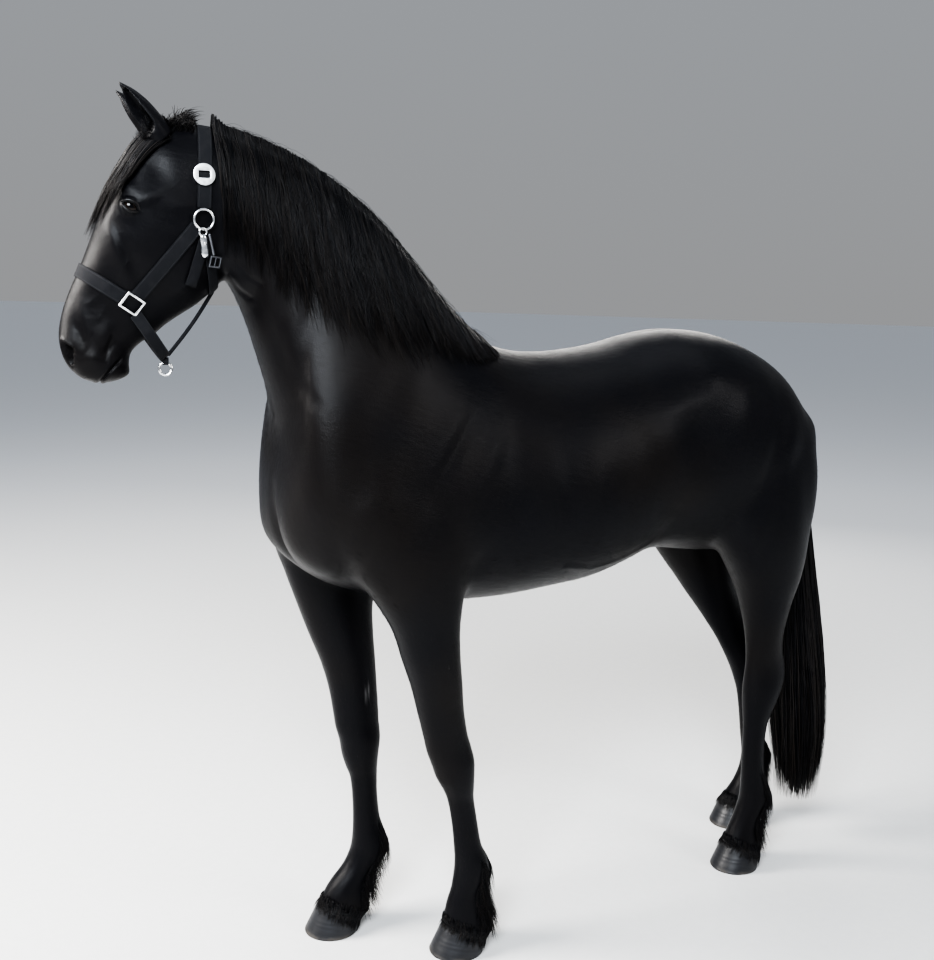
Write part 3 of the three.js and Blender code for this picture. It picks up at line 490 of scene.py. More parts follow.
def placed(points):
    points = np.asarray(points, float)
    angle = HEAD_TURN * smooth(up_the_neck(points) / TURN_REACH)
    c = np.cos(angle)
    s = np.sin(angle)
    x = points[..., 0] - TURN_AT_X
    y = points[..., 1]
    turned = np.stack([TURN_AT_X + x * c + y * s, y * c - x * s, points[..., 2]], -1)
    return turned * MM + np.array(SHIFT)


print("tip of the left ear stands at", placed([(-681, -62, EAR_TIP)]).round(3).tolist())

# %% [markdown]
# ## Tubes from grids
# A lofted form is a grid of faces that is rolled up: its columns go round the form and its rows run
# along it. Two operators close it: one welds the seam, the other fills both ends.

# %% Rolling a grid into a tube
def points_of(mesh):
    flat = np.empty(len(mesh.vertices) * 3, np.float32)
    mesh.vertices.foreach_get("co", flat)
    return flat.reshape(-1, 3).astype(float)


def normals_of(mesh):
    flat = np.empty(len(mesh.vertices) * 3, np.float32)
    mesh.vertices.foreach_get("normal", flat)
    return flat.reshape(-1, 3)


def corners_of(mesh):
    """The point that each corner of the faces lies on."""
    corners = np.empty(len(mesh.loops), np.int32)
    mesh.loops.foreach_get("vertex_index", corners)
    return corners


def move_points(mesh, points):
    mesh.vertices.foreach_set("co", np.asarray(points, np.float32).ravel())
    mesh.update()


def shade_smooth(thing):
    thing.data.polygons.foreach_set("use_smooth", np.ones(len(thing.data.polygons), bool))


def into_place(thing, finish):
    """Puts a piece where it stands on the turned horse, smooth and with its finish."""
    move_points(thing.data, placed(points_of(thing.data)))
    shade_smooth(thing)
    thing.data.materials.append(finish)


def close_rims(work):
    rim = [edge for edge in work.edges if edge.is_boundary]
    bmesh.ops.holes_fill(work, edges=rim, sides=0)
    bmesh.ops.recalc_face_normals(work, faces=work.faces)


def rolled(rows, sides, shape):
    """A closed tube; shape turns arrays of place (0 to 1) and angle into points."""
    work = bmesh.new()
    bmesh.ops.create_grid(work, x_segments=sides, y_segments=rows, size=0.5)
    flat = np.array([vert.co for vert in work.verts])
    spots = shape(flat[:, 1] + 0.5, (flat[:, 0] + 0.5) * 2 * math.pi)
    for vert, spot in zip(work.verts, spots):
        vert.co = spot
    bmesh.ops.remove_doubles(work, verts=work.verts, dist=1e-4)
    close_rims(work)
    return work


def trimmed(work, spot, way):
    """Cuts away what lies behind the plane and closes the cut."""
    everything = work.verts[:] + work.edges[:] + work.faces[:]
    bmesh.ops.bisect_plane(work, geom=everything, dist=1e-4, plane_co=spot, plane_no=way, clear_inner=True)
    close_rims(work)
    return work


def add_work(whole, work):
    """Adds one bmesh to another."""
    part = bpy.data.meshes.new("part")
    work.to_mesh(part)
    work.free()
    whole.from_mesh(part)
    bpy.data.meshes.remove(part)


def merged(name, works):
    """One object out of several bmeshes."""
    mesh = bpy.data.meshes.new(name)
    whole = bmesh.new()
    for work in works:
        add_work(whole, work)
    whole.to_mesh(mesh)
    whole.free()
    thing = bpy.data.objects.new(name, mesh)
    bpy.context.scene.collection.objects.link(thing)
    return thing


def settle(thing):
    """Puts what the modifiers make into the mesh itself."""
    bpy.context.view_layer.update()
    shown = thing.evaluated_get(bpy.context.evaluated_depsgraph_get())
    mesh = bpy.data.meshes.new_from_object(shown)
    old = thing.data
    thing.modifiers.clear()
    thing.data = mesh
    mesh.name = thing.name
    bpy.data.meshes.remove(old)
    return thing


print("tubes can be rolled")

# %% [markdown]
# ## The skin as one mesh
# Trunk, neck and head are one tube, each leg another, each ear a leaf and each eye's lids a ball.
# A voxel remesh melts them into one closed skin, the way a sculptor blends lumps of clay. The
# coronet plane at each hoof is where the skin ends and the horn begins.

# %% Parts of the flesh
def coronet(spot):
    fall = math.atan2(HOOF_FRONT - HOOF_HEEL, HOOF_LENGTH * 0.7)
    way = Vector((math.sin(fall), 0, math.cos(fall)))
    return Vector((spot[0] - HOOF_LENGTH * 0.25, 0, HOOF_FRONT)), way


def ear_frame(side):
    root = np.array([-588.0, side * 52, 2028])
    tip = np.array([-681.0, side * 62, EAR_TIP])
    axis = unit(tip - root)
    across = unit(np.cross(axis, [-0.78, side * 0.34, 0]))
    opening = unit(np.cross(across, axis))
    return root, tip, axis, across, opening


# half depth and half width of an ear, from root to tip
EAR = [(29, 26), (31, 29), (29.5, 29), (25.5, 25.5), (17, 16.5), (3.5, 3.5)]
EYELID_BALL = (24.5, 24, 22.5)
VOXEL = 3.4


def ear_leaf(side):
    root, tip, axis, across, opening = ear_frame(side)

    def shape(place, angle):
        size = along(EAR, place) - COAT_DEPTH * 0.6
        middle = root + (tip - root) * place[:, None]
        deep = opening * (size[:, :1] * np.cos(angle)[:, None])
        wide = across * (size[:, 1:] * np.sin(angle)[:, None])
        return middle + deep + wide

    return rolled(40, 40, shape)


def ball(spot, sizes, tilt=0.0):
    work = bmesh.new()
    bmesh.ops.create_uvsphere(work, u_segments=32, v_segments=20, radius=1)
    shape = Matrix.Rotation(tilt, 4, "Y") @ Matrix.Diagonal((*sizes, 1))
    bmesh.ops.transform(work, matrix=Matrix.Translation(spot) @ shape, verts=work.verts)
    return work


flesh = [rolled(260, 96, lambda place, angle: body_point(place, angle, -COAT_DEPTH))]
for name, (rows, side) in LEGS.items():
    leg = rolled(150, 48, lambda place, angle: leg_point(rows, side, place, angle, -COAT_DEPTH))
    spot, way = coronet(HOOF_SPOTS[name])
    flesh.append(trimmed(leg, spot - way * 5, way))
for side in (-1, 1):
    flesh.append(ear_leaf(side))
    flesh.append(ball((EYE_AT[0], side * EYE_OUT, EYE_AT[1]), EYELID_BALL, HEAD_TILT))
skin = merged("skin", flesh)
print("raw flesh:", len(skin.data.polygons), "faces")

# %% Melting the parts together
melt = skin.modifiers.new("melt", "REMESH")
melt.mode = "VOXEL"
melt.voxel_size = VOXEL
settle(skin)
print("after the remesh:", len(skin.data.polygons), "faces")

# %% [markdown]
# ## Softening where parts meet
# The remesh leaves a crease where a leg leaves the trunk. On the animal the skin runs smoothly over
# it, so points near these places are drawn to the middle of their neighbours, many times over.

# %% Softening
def relaxed(points, edges, share, rounds):
    first, second = edges.T
    count = len(points)
    neighbours = np.bincount(first, minlength=count) + np.bincount(second, minlength=count)
    for _ in range(rounds):
        total = np.stack([
            np.bincount(first, points[second, k], count) + np.bincount(second, points[first, k], count)
            for k in range(3)
        ], 1)
        points = points + share[:, None] * (total / neighbours[:, None] - points)
    return points


def edges_of(mesh):
    flat = np.empty(len(mesh.edges) * 2, np.int32)
    mesh.edges.foreach_get("vertices", flat)
    return flat.reshape(-1, 2)


clay = points_of(skin.data)
links = edges_of(skin.data)
rear = smooth(clay[:, 0], 300, 600)
fore_joint = smooth(clay[:, 2], 820, 960) * (1 - smooth(clay[:, 2], 1330, 1480)) * (1 - rear)
hind_joint = smooth(clay[:, 2], 800, 960) * (1 - smooth(clay[:, 2], 1460, 1560)) * rear
joint = np.maximum(fore_joint, hind_joint) * smooth(np.abs(clay[:, 1]), 20, 60)
clay = relaxed(clay, links, 0.8 * joint, 90)
near_face = smooth(-clay[:, 0], 560, 600) * smooth(clay[:, 2], 1450, 1500)
body_share = 0.5 * (1 - near_face) * (clay[:, 2] > 70)
clay = relaxed(clay, links, body_share, 6)
clay = relaxed(clay, links, 0.35 * near_face, 2)
throat_base = np.exp(-(((clay[:, 2] - 1370) / 55) ** 2) - ((clay[:, 0] + 340) / 70) ** 2)
clay = relaxed(clay, links, 0.8 * throat_base * (1 - smooth(np.abs(clay[:, 1]), 120, 170)), 60)
print("softened points:", int((joint > 0.05).sum()))

# %% [markdown]
# ## Lids, nostrils, mouth and ears
# What goes into the skin is pushed in along a direction, as with a modelling tool: the ear's cup,
# the opening between the lids, the nostril's comma and the line of the mouth.

# %% Hollows of the face
def eye_frame(side):
    c = math.cos(HEAD_TILT)
    s = math.sin(HEAD_TILT)
    middle = np.array([EYE_AT[0], side * EYE_OUT, EYE_AT[1]])
    lengthwise = np.array([c, 0, -s])
    upward = np.array([s, 0, c])
    return middle, lengthwise, upward, np.array([0, side, 0.0])


LID_HALF_LENGTH = 17.5
LID_RISE = (8.2, 6.4)
EYE_FLOOR = 17.0


def lid_edge(reach):
    """Heights of the upper and the lower lid's edge along the eye, reach from -1 to 1."""
    bow = np.maximum(1 - np.abs(reach) ** 2.2, 0)
    return LID_RISE[0] * bow, -LID_RISE[1] * bow**1.15


def open_eyes(points):
    for side in (-1, 1):
        middle, lengthwise, upward, outward = eye_frame(side)
        offset = points - middle
        length = offset @ lengthwise
        height = offset @ upward
        depth = offset @ outward
        near = (np.linalg.norm(offset, axis=1) < 34) & (depth > 2)
        top, bottom = lid_edge(length / LID_HALF_LENGTH)
        inside = near & (np.abs(length) < LID_HALF_LENGTH) & (height < top + 0.5) & (height > bottom - 0.5)
        radius = np.linalg.norm(offset[inside], axis=1)
        points[inside] = middle + offset[inside] * (EYE_FLOOR / radius)[:, None]
        above = near & ~inside & (height > 0)
        fold = np.exp(-(((height - top - 7.5) / 1.7) ** 2)) * np.exp(-((length / 20) ** 4))
        points[above] -= outward * (2.2 * fold[above])[:, None]
        below = near & ~inside & (height <= 0)
        fold = np.exp(-(((height - bottom + 6.0) / 1.5) ** 2)) * np.exp(-((length / 17) ** 4))
        points[below] -= outward * (1.4 * fold[below])[:, None]
    return points


def hollow_ears(points):
    for side in (-1, 1):
        root, tip, axis, across, opening = ear_frame(side)
        long = np.linalg.norm(tip - root)
        offset = points - root
        place = offset @ axis / long
        size = along(EAR, place)
        wide = offset @ across / size[:, 1]
        deep = offset @ opening / size[:, 0]
        rim = 0.90
        fade = smooth(place, 0.14, 0.34) * (1 - smooth(place, 0.80, 0.95))
        fade = fade * (1 - smooth(np.abs(wide), 0.60, rim))
        inside = (place > 0.12) & (place < 0.98) & (deep > 0.0) & (deep < 1.4) & (np.abs(wide) < rim)
        bowl = 0.10 - 0.78 * np.sqrt(np.maximum(1 - (wide / rim) ** 2, 0))
        drop = np.minimum(bowl - deep, 0) * fade * size[:, 0]
        points[inside] += opening * drop[inside][:, None]
    return points


NOSTRIL_AT = (-812.0, 44, 1563)
NOSTRIL_TILT = math.radians(-16)


def open_nostrils(points):
    for side in (-1, 1):
        offset = points - np.multiply(NOSTRIL_AT, (1, side, 1))
        long = offset[:, 2] * math.cos(NOSTRIL_TILT) - offset[:, 0] * math.sin(NOSTRIL_TILT)
        cross = offset[:, 1] * side + 0.016 * (long - 2) ** 2
        shape = (long / 21) ** 2 + (cross / 10.5) ** 2
        near = (np.abs(offset[:, 0]) < 26) & (np.abs(offset[:, 1]) < 30)
        sink = np.where(near, smooth(1.25 - shape, 0, 0.75), 0)
        inward = unit(np.array([0.86, -side * 0.44, 0.2]))
        points += inward * (22 * sink)[:, None]
        lip = np.where(near, np.exp(-(((shape - 1.75) / 0.55) ** 2)), 0)
        points -= inward * (2.6 * lip)[:, None]
    return points


MOUTH = [(-676, 1556), (-686, 1545), (-700, 1531), (-714, 1514), (-727, 1500), (-733, 1485)]


def line_distance(points, line):
    """How far points are from a line of the side view, and where along it the nearest place is."""
    line = np.array(line, float)
    side_view = points[:, [0, 2]]
    best = np.full(len(points), 1e9)
    share = np.zeros(len(points))
    for i in range(len(line) - 1):
        step = line[i + 1] - line[i]
        f = np.clip((side_view - line[i]) @ step / (step @ step), 0, 1)
        far = np.linalg.norm(side_view - line[i] - f[:, None] * step, axis=1)
        share = np.where(far < best, (i + f) / (len(line) - 1), share)
        best = np.minimum(best, far)
    return best, share


def cut_mouth(points):
    best, share = line_distance(points, MOUTH)
    sink = 6.5 * np.exp(-((best / 2.4) ** 2)) * smooth(share, 0.0, 0.25)
    swell = 2.2 * np.exp(-(((best - 8) / 5) ** 2)) * smooth(share, 0.1, 0.5)
    near = (points[:, 0] < -655) & (points[:, 2] < 1580)
    from_middle = np.stack([points[:, 0] + 705, points[:, 1] * 1.6, points[:, 2] - 1535], 1)
    inward = -unit(from_middle * [0.3, 1, 0.3])
    return points + inward * np.where(near, sink - swell, 0)[:, None]


move_points(skin.data, clay)
clay = clay + normals_of(skin.data) * relief(clay, FINE_FORMS)[:, None]
clay = cut_mouth(open_nostrils(hollow_ears(open_eyes(clay))))
near_ear = smooth(-clay[:, 0], 562, 580) * smooth(clay[:, 2], 2046, 2062)
clay = relaxed(clay, links, 0.5 * near_ear, 4)
move_points(skin.data, clay)
print("hollows cut; points of the skin:", len(clay))

# %% [markdown]
# ## Veins and loose skin
# Thin-skinned horses show veins on the face and legs and small folds where the neck bends. Each is
# a line of points; the skin rises in a low ridge along it.

# %% Veins and folds
VEINS = [
    ([(-655, 1782), (-676, 1748), (-700, 1716), (-724, 1692), (-752, 1668)], 6.0, 1.2),
    ([(-700, 1712), (-712, 1668), (-730, 1636)], 5.0, 1.0),
    ([(-610, 1742), (-640, 1706), (-664, 1690)], 7.0, 0.9),
    ([(-745, 1600), (-752, 1570), (-770, 1548)], 5.0, -1.4),
    ([(-700, 1600), (-712, 1575), (-716, 1548)], 4.5, -1.6),
    ([(-424, 1760), (-392, 1700), (-356, 1610), (-324, 1520), (-298, 1462)], 14.0, -2.4),
    ([(-452, 1740), (-430, 1712), (-402, 1690)], 6.0, -3.0),
    ([(-440, 1772), (-412, 1742), (-380, 1722)], 7.0, -2.4),
    ([(350, 1040), (440, 1022), (540, 1040), (640, 1075)], 9.0, 2.2),
]


def line_relief(points, line, width, height):
    best, _ = line_distance(points, line)
    return height * np.exp(-((best / width) ** 2)) * smooth(np.abs(points[:, 1]), 25, 45)


push = sum(line_relief(clay, *vein) for vein in VEINS)
clay = clay + normals_of(skin.data) * push[:, None]
move_points(skin.data, clay)
print("veins and folds:", len(VEINS))

# %% [markdown]
# ## Fewer faces where the form is calm
# The remesh has the same small faces everywhere. The Decimate modifier collapses them where the
# surface is nearly flat and keeps them at the eyes, nostrils and ears.

# %% Thinning the skin
SKIN_TRIANGLES = 185000
thin = skin.modifiers.new("thin", "DECIMATE")
thin.decimate_type = "COLLAPSE"
thin.use_collapse_triangulate = True
thin.ratio = min(1.0, SKIN_TRIANGLES / (2 * len(skin.data.polygons)))
settle(skin)
shade_smooth(skin)
straight = points_of(skin.data)
print("the skin has", len(skin.data.polygons), "triangles")

# %% [markdown]
# ## An unwrap that the coat can use
# The skin is laid out flat by the angles of its faces. Every tuft that grows on it takes the place
# of its root on this layout, so coat and skin read the same markings.

# %% Unwrapping
bpy.context.view_layer.objects.active = skin
skin.select_set(True)
move_points(skin.data, straight * MM)
bpy.ops.object.mode_set(mode="EDIT")
bpy.ops.mesh.select_all(action="SELECT")
bpy.ops.uv.smart_project(angle_limit=math.radians(66), island_margin=0.0005)
bpy.ops.object.mode_set(mode="OBJECT")
skin.data.uv_layers[0].name = "OFBake"
skin.select_set(False)
loose = np.empty(len(skin.data.loops) * 2, np.float32)
skin.data.uv_layers["OFBake"].uv.foreach_get("vector", loose)
faces = corners_of(skin.data).reshape(-1, 3)
face_uv = loose.reshape(-1, 3, 2)
tree = BVHTree.FromPolygons(straight.tolist(), faces.tolist())
print("unwrapped:", len(face_uv), "faces, from", face_uv.min().round(2), "to", face_uv.max().round(2))

# %% [markdown]
# ## Shader sums as plain sums
# A finish is worked out from a few noises and masks. This small class wraps a socket, so that
# sums on sockets add their Math nodes, and one method adds every other kind of node.

# %% A finish and its sums
class Wire:
    def __init__(self, finish, socket):
        self.finish = finish
        self.socket = socket

    def __add__(self, other):
        return self.finish.math("ADD", self, other)

    def __radd__(self, other):
        return self.finish.math("ADD", other, self)

    def __sub__(self, other):
        return self.finish.math("SUBTRACT", self, other)

    def __rsub__(self, other):
        return self.finish.math("SUBTRACT", other, self)

    def __mul__(self, other):
        return self.finish.math("MULTIPLY", self, other)

    def __rmul__(self, other):
        return self.finish.math("MULTIPLY", other, self)

    def __truediv__(self, other):
        return self.finish.math("DIVIDE", self, other)

    def __pow__(self, other):
        return self.finish.math("POWER", self, other)


class Finish:
    def __init__(self, name):
        self.material = bpy.data.materials.new(name)
        self.material.use_nodes = True
        self.tree = self.material.node_tree
        self.shader = next(node for node in self.tree.nodes if node.type == "BSDF_PRINCIPLED")

    def node(self, kind, settings=None, inputs=None, output=0):
        made = self.tree.nodes.new(kind)
        for key, value in (settings or {}).items():
            setattr(made, key, value)
        for key, value in (inputs or {}).items():
            self.feed(made.inputs[key], value)
        return Wire(self, made.outputs[output])

    def feed(self, socket, value):
        if isinstance(value, Wire):
            self.tree.links.new(value.socket, socket)
        else:
            socket.default_value = value

    def math(self, operation, first, second):
        return self.node("ShaderNodeMath", {"operation": operation}, {0: first, 1: second})

    def mix(self, share, first, second):
        colours = [(*c, 1) if isinstance(c, tuple) and len(c) == 3 else c for c in (first, second)]
        return self.node("ShaderNodeMix", {"data_type": "RGBA"}, {0: share, 6: colours[0], 7: colours[1]}, 2)

    def blend(self, share, first, second):
        return self.node("ShaderNodeMix", {"data_type": "FLOAT"}, {0: share, 2: first, 3: second}, 0)

    def band(self, value, low, high):
        """0 below low, 1 above high, smooth between."""
        inputs = {0: value, 1: low, 2: high, 3: 0.0, 4: 1.0}
        return self.node("ShaderNodeMapRange", {"interpolation_type": "SMOOTHSTEP"}, inputs)

    def place(self):
        return self.node("ShaderNodeTexCoord", output=3)

    def attribute(self, name):
        return self.node("ShaderNodeAttribute", {"attribute_name": name}, output=2)

    def stretched(self, lengths, turn=(0.0, 0.0, 0.0), source=None):
        """Coordinates turned and then divided by lengths in metres."""
        inputs = {"Vector": source or self.place(), "Rotation": turn, "Scale": lengths}
        return self.node("ShaderNodeMapping", {"vector_type": "TEXTURE"}, inputs)

    def noise(self, vector, scale=1.0, detail=2.0, rough=0.5):
        inputs = {"Vector": vector, "Scale": scale, "Detail": detail, "Roughness": rough}
        return self.node("ShaderNodeTexNoise", {}, inputs)

    def set(self, **values):
        for name, value in values.items():
            self.feed(self.shader.inputs[name.replace("_", " ")], value)

    def bump(self, height, strength, distance):
        inputs = {"Height": height, "Strength": strength, "Distance": distance}
        self.feed(self.shader.inputs["Normal"], self.node("ShaderNodeBump", {}, inputs))


print("finishes can be mixed")

# %% [markdown]
# ## The black coat
# A Friesian's coat is a deep black. A noise lays brown patches on it, which stand for hair that the sun has
# bleached and also paint the warm sheen of sunlight into the colour; between them the black is tinted blue,
# a painted reflection of the sky. The hairs lie along the body: backwards on the trunk, down the neck, down
# the face and down the legs. The bump is fine noise, stretched along each of these ways, and three smooth
# masks choose between them.

# %% Coat finish
def coat_finish(name):
    coat = Finish(name)
    place = coat.place()
    legs = coat.attribute("leg_share")
    neck = coat.attribute("neck_share")
    head = coat.attribute("head_share")
    hair = (0.016, 0.0013, 0.0013)
    trunk_hair = coat.noise(coat.stretched(hair, (0, 0.25, 0)), 1.0, 3.0, 0.6)
    neck_hair = coat.noise(coat.stretched(hair, (0, 1.0, 0)), 1.0, 3.0, 0.6)
    head_hair = coat.noise(coat.stretched((0.009, 0.0010, 0.0010), (0, 2.05, 0)), 1.0, 3.0, 0.6)
    leg_hair = coat.noise(coat.stretched((0.013, 0.0012, 0.0012), (0, 1.52, 0)), 1.0, 3.0, 0.6)
    strands = coat.blend(neck, trunk_hair, neck_hair)
    strands = coat.blend(head, strands, head_hair)
    strands = coat.blend(legs, strands, leg_hair)
    swirls = coat.noise(place, 7.0, 3.0, 0.55)
    clumps = coat.noise(coat.stretched((0.05, 0.012, 0.012), (0, 0.35, 0)), 1.0, 2.0, 0.5)
    # Random patches: brown for sun-bleached hair and a painted warm sheen of sunlight; blue-black between
    # them, a painted reflection of the sky.
    sunburn_and_painted_sun_sheen = coat.band(coat.noise(place, 2.6, 2.0, 0.5), 0.42, 0.72)
    colour = coat.mix(sunburn_and_painted_sun_sheen, (0.0024, 0.0025, 0.0038), (0.0056, 0.0045, 0.0042))
    colour = coat.mix(coat.band(strands, 0.35, 0.75) * 0.4, colour, (0.0088, 0.0078, 0.0082))
    chestnut = coat.attribute("chestnut")
    colour = coat.mix(chestnut, colour, (0.062, 0.060, 0.060))
    coat.set(Base_Color=colour)
    rough = 0.29 + 0.12 * strands + 0.08 * swirls - 0.05 * clumps + 0.2 * chestnut
    coat.set(Roughness=rough, Specular_IOR_Level=0.13)
    coat.bump(strands * 0.8 + clumps * 0.8 + swirls * 0.3, 0.5, 0.0014)
    return coat.material


COAT = coat_finish("black_coat")
print("coat finish:", COAT.name)

# %% The masks of the lie
def lie_shares(points):
    """How far a point belongs to the head, the neck and the legs."""
    head = smooth((-0.62 * (points[:, 0] + 486) - 0.18 * (points[:, 2] - 1950)), -10, 40)
    neck = smooth(up_the_neck(points), -60, 160)
    low = 1 - smooth(points[:, 2], 860, 1020)
    legs = low * smooth(np.abs(points[:, 1]), 40, 80)
    return np.stack([head, neck, legs], 1)


def note(mesh, name, values):
    """Keeps one number for each point of a mesh."""
    layer = mesh.attributes.new(name, "FLOAT", "POINT")
    layer.data.foreach_set("value", np.asarray(values, np.float32))


CHESTNUT_AT = (-45, 76, 671)
CHESTNUT_REACH = (13, 60, 15)
shares = lie_shares(straight)
for k, label in enumerate(("head_share", "neck_share", "leg_share")):
    note(skin.data, label, shares[:, k])
chestnut_far = np.linalg.norm((straight - CHESTNUT_AT) / CHESTNUT_REACH, axis=1)
note(skin.data, "chestnut", 1 - smooth(chestnut_far, 0.75, 1.05))
skin.data.materials.clear()
skin.data.materials.append(COAT)
print("points on head, neck and legs:", (shares > 0.5).sum(0).tolist())

# %% [markdown]
# ## One lock, many times over
# Hair is made of thin solid locks. One lock is a grid rolled into a three-sided tube; an Array
# modifier repeats it and NumPy lays each copy along its own path. All copies end up in one mesh.
# Each lock also takes the colour place of its root on the skin's unwrap, as a patch 3 mm across.

# %% Strands along paths
def root_places(roots):
    """The place of each root on the skin's unwrap."""
    places = np.zeros((len(roots), 2))
    for i, root in enumerate(roots):
        spot, _, face, _ = tree.find_nearest(Vector(root))
        a, b, c = straight[faces[face]]
        whole = np.linalg.norm(np.cross(b - a, c - a)) + 1e-9
        spot = np.array(spot)
        share_a = np.linalg.norm(np.cross(b - spot, c - spot)) / whole
        share_b = np.linalg.norm(np.cross(c - spot, a - spot)) / whole
        uv = face_uv[face]
        places[i] = uv[0] * share_a + uv[1] * share_b + uv[2] * (1 - share_a - share_b)
    return places


def bake_places(mesh):
    """Every corner of a mesh takes the place of the nearest point of the skin."""
    spots = root_places(points_of(mesh))[corners_of(mesh)]
    layer = mesh.uv_layers.new(name="OFBake")
    layer.uv.foreach_set("vector", spots.astype(np.float32).ravel())


PATCH = 0.003
ROOT_WIDTH = 0.55
TIP_WIDTH = 0.06


def strands(name, paths, facing, width, thick, shade, finish, taper=2.2, lit=None):
    """Locks along paths (locks, rows, 3), their flat sides turned to facing.

    Where lit is given, a lock takes the light as the skin at its root does."""
    count, rows, _ = paths.shape
    tangents = unit(np.gradient(paths, axis=1))
    across = unit(np.cross(tangents, facing))
    ridge = unit(np.cross(across, tangents))

    def prism(place, angle):
        return np.stack([np.cos(angle), np.sin(angle), place * (rows - 1)], 1)

    single = merged(name, [rolled(rows - 1, 3, prism)])
    template = points_of(single.data)
    row = np.rint(template[:, 2]).astype(int)
    turn = np.arctan2(template[:, 1], template[:, 0])
    side = np.sin(turn) / math.sin(2 * math.pi / 3)
    rise = np.where(np.cos(turn) > 0.5, 1.0, 0.0)
    many = single.modifiers.new("many", "ARRAY")
    many.count = count
    many.use_relative_offset = False
    settle(single)
    mesh = single.data
    place = np.arange(rows) / (rows - 1)
    full = ROOT_WIDTH + (1 - ROOT_WIDTH) * np.minimum(place * 5, 1)
    full = full * (1 - (1 - TIP_WIDTH) * place**taper)
    half = 0.5 * np.asarray(width, float).reshape(-1, 1) * full
    high = np.asarray(thick, float).reshape(-1, 1) * full
    to_side = across[:, row] * (half[:, row] * side)[..., None]
    to_ridge = ridge[:, row] * (high[:, row] * rise)[..., None]
    points = paths[:, row] + to_side + to_ridge
    move_points(mesh, placed(points.reshape(-1, 3)))
    shade_smooth(single)
    note(mesh, "shade", np.repeat(shade, len(template)))
    note(mesh, "tipward", np.tile(place[row], count))
    corners = corners_of(mesh)
    patch = np.stack([side * PATCH / 2, (place[row] - 0.5) * PATCH], 1)
    spots = root_places(paths[:, 0])[corners // len(template)] + patch[corners % len(template)]
    layer = mesh.uv_layers.new(name="OFBake")
    layer.uv.foreach_set("vector", spots.astype(np.float32).ravel())
    mesh.materials.append(finish)
    if lit is not None:
        ways = unit(placed(paths[:, 0] + lit) - placed(paths[:, 0]))
        mesh.normals_split_custom_set_from_vertices(np.repeat(ways, len(template), 0).tolist())
    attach(single, "root")
    mesh.calc_loop_triangles()
    print(name, count, "locks,", len(mesh.loop_triangles), "triangles")
    return single


def hair_finish(name, dark, light, rough, shine):
    hair = Finish(name)
    shade = hair.attribute("shade")
    tip = hair.attribute("tipward")
    streak = hair.noise(hair.stretched((0.03, 0.0016, 0.03), (0, 0, 0)), 1.0, 2.0, 0.5)
    colour = hair.mix(shade, dark, light)
    colour = hair.mix(tip**3 * shade * 0.5, colour, (0.024, 0.016, 0.011))
    hair.set(Base_Color=colour, Roughness=rough + 0.12 * streak + 0.1 * shade)
    hair.set(Specular_IOR_Level=shine)
    hair.bump(streak, 0.35, 0.0008)
    return hair.material


LONG_HAIR = hair_finish("long_black_hair", (0.0025, 0.0026, 0.0038), (0.0100, 0.0086, 0.0082), 0.36, 0.17)
SHORT_HAIR = hair_finish("short_black_hair", (0.0034, 0.0033, 0.0044), (0.0080, 0.0070, 0.0070), 0.28, 0.17)


def facing_ways(paths, x, y, z):
    """One way to face for every row of every path, from numbers or from one value for each lock."""
    facing = np.zeros_like(paths)
    for k, value in enumerate((x, y, z)):
        facing[..., k] = np.reshape(value, (-1, 1))
    return facing


def long_locks(name, paths, facing, widths, flat=0.3, palest=1.0, **more):
    """Long hair whose locks differ in width and shade."""
    width = random.uniform(*widths, len(paths))
    shade = random.uniform(0, palest, len(paths)) ** 2
    return strands(name, paths, unit(facing), width, width * flat, shade, LONG_HAIR, **more)


print("hair finishes:", LONG_HAIR.name, SHORT_HAIR.name)

# %% [markdown]
# ## The mane
# The mane grows from a narrow line along the crest and falls to the left, wavy, down to half way
# down the neck. Strands gather in locks: each strand starts at its own root and draws near to the
# middle of its lock towards the tip, and the whole lock waves together.

# %% Mane paths
def side_of_neck(x, z):
    """The left side of the straight skin at points of the side view, as a distance from the middle."""
    out = np.zeros(len(x))
    for i in range(len(x)):
        hit = tree.ray_cast(Vector((x[i], -420, z[i])), Vector((0, 1, 0)), 420)
        out[i] = -hit[0].y if hit[0] is not None else 0.0
    return out


MANE_FROM = -480
MANE_TO = 206
MANE_ROWS = 12
crest_x = np.linspace(MANE_FROM, 235, 90)
crest_z = np.zeros(len(crest_x))
for i, x in enumerate(crest_x):
    hit = tree.ray_cast(Vector((x, 0, 2300)), Vector((0, 0, -1)), 900)
    crest_z[i] = hit[0].z
# how far the mane hangs, from the poll to the withers
MANE_DROP = [(285,), (335,), (378,), (392,), (356,), (276,), (188,), (104,), (38,)]
SIDE_GRID_X = np.linspace(-520, 420, 95)
SIDE_GRID_Z = np.linspace(1300, 2120, 83)
grid_x, grid_z = np.meshgrid(SIDE_GRID_X, SIDE_GRID_Z, indexing="ij")
side_grid = side_of_neck(grid_x.ravel(), grid_z.ravel()).reshape(grid_x.shape)


def side_at(x, z):
    """The same distance, read quickly between the points of a grid."""
    u = np.clip((x - SIDE_GRID_X[0]) / (SIDE_GRID_X[1] - SIDE_GRID_X[0]), 0, len(SIDE_GRID_X) - 1.001)
    w = np.clip((z - SIDE_GRID_Z[0]) / (SIDE_GRID_Z[1] - SIDE_GRID_Z[0]), 0, len(SIDE_GRID_Z) - 1.001)
    i, j = u.astype(int), w.astype(int)
    f, g = u - i, w - j
    return (
        side_grid[i, j] * (1 - f) * (1 - g)
        + side_grid[i + 1, j] * f * (1 - g)
        + side_grid[i, j + 1] * (1 - f) * g
        + side_grid[i + 1, j + 1] * f * g
    )


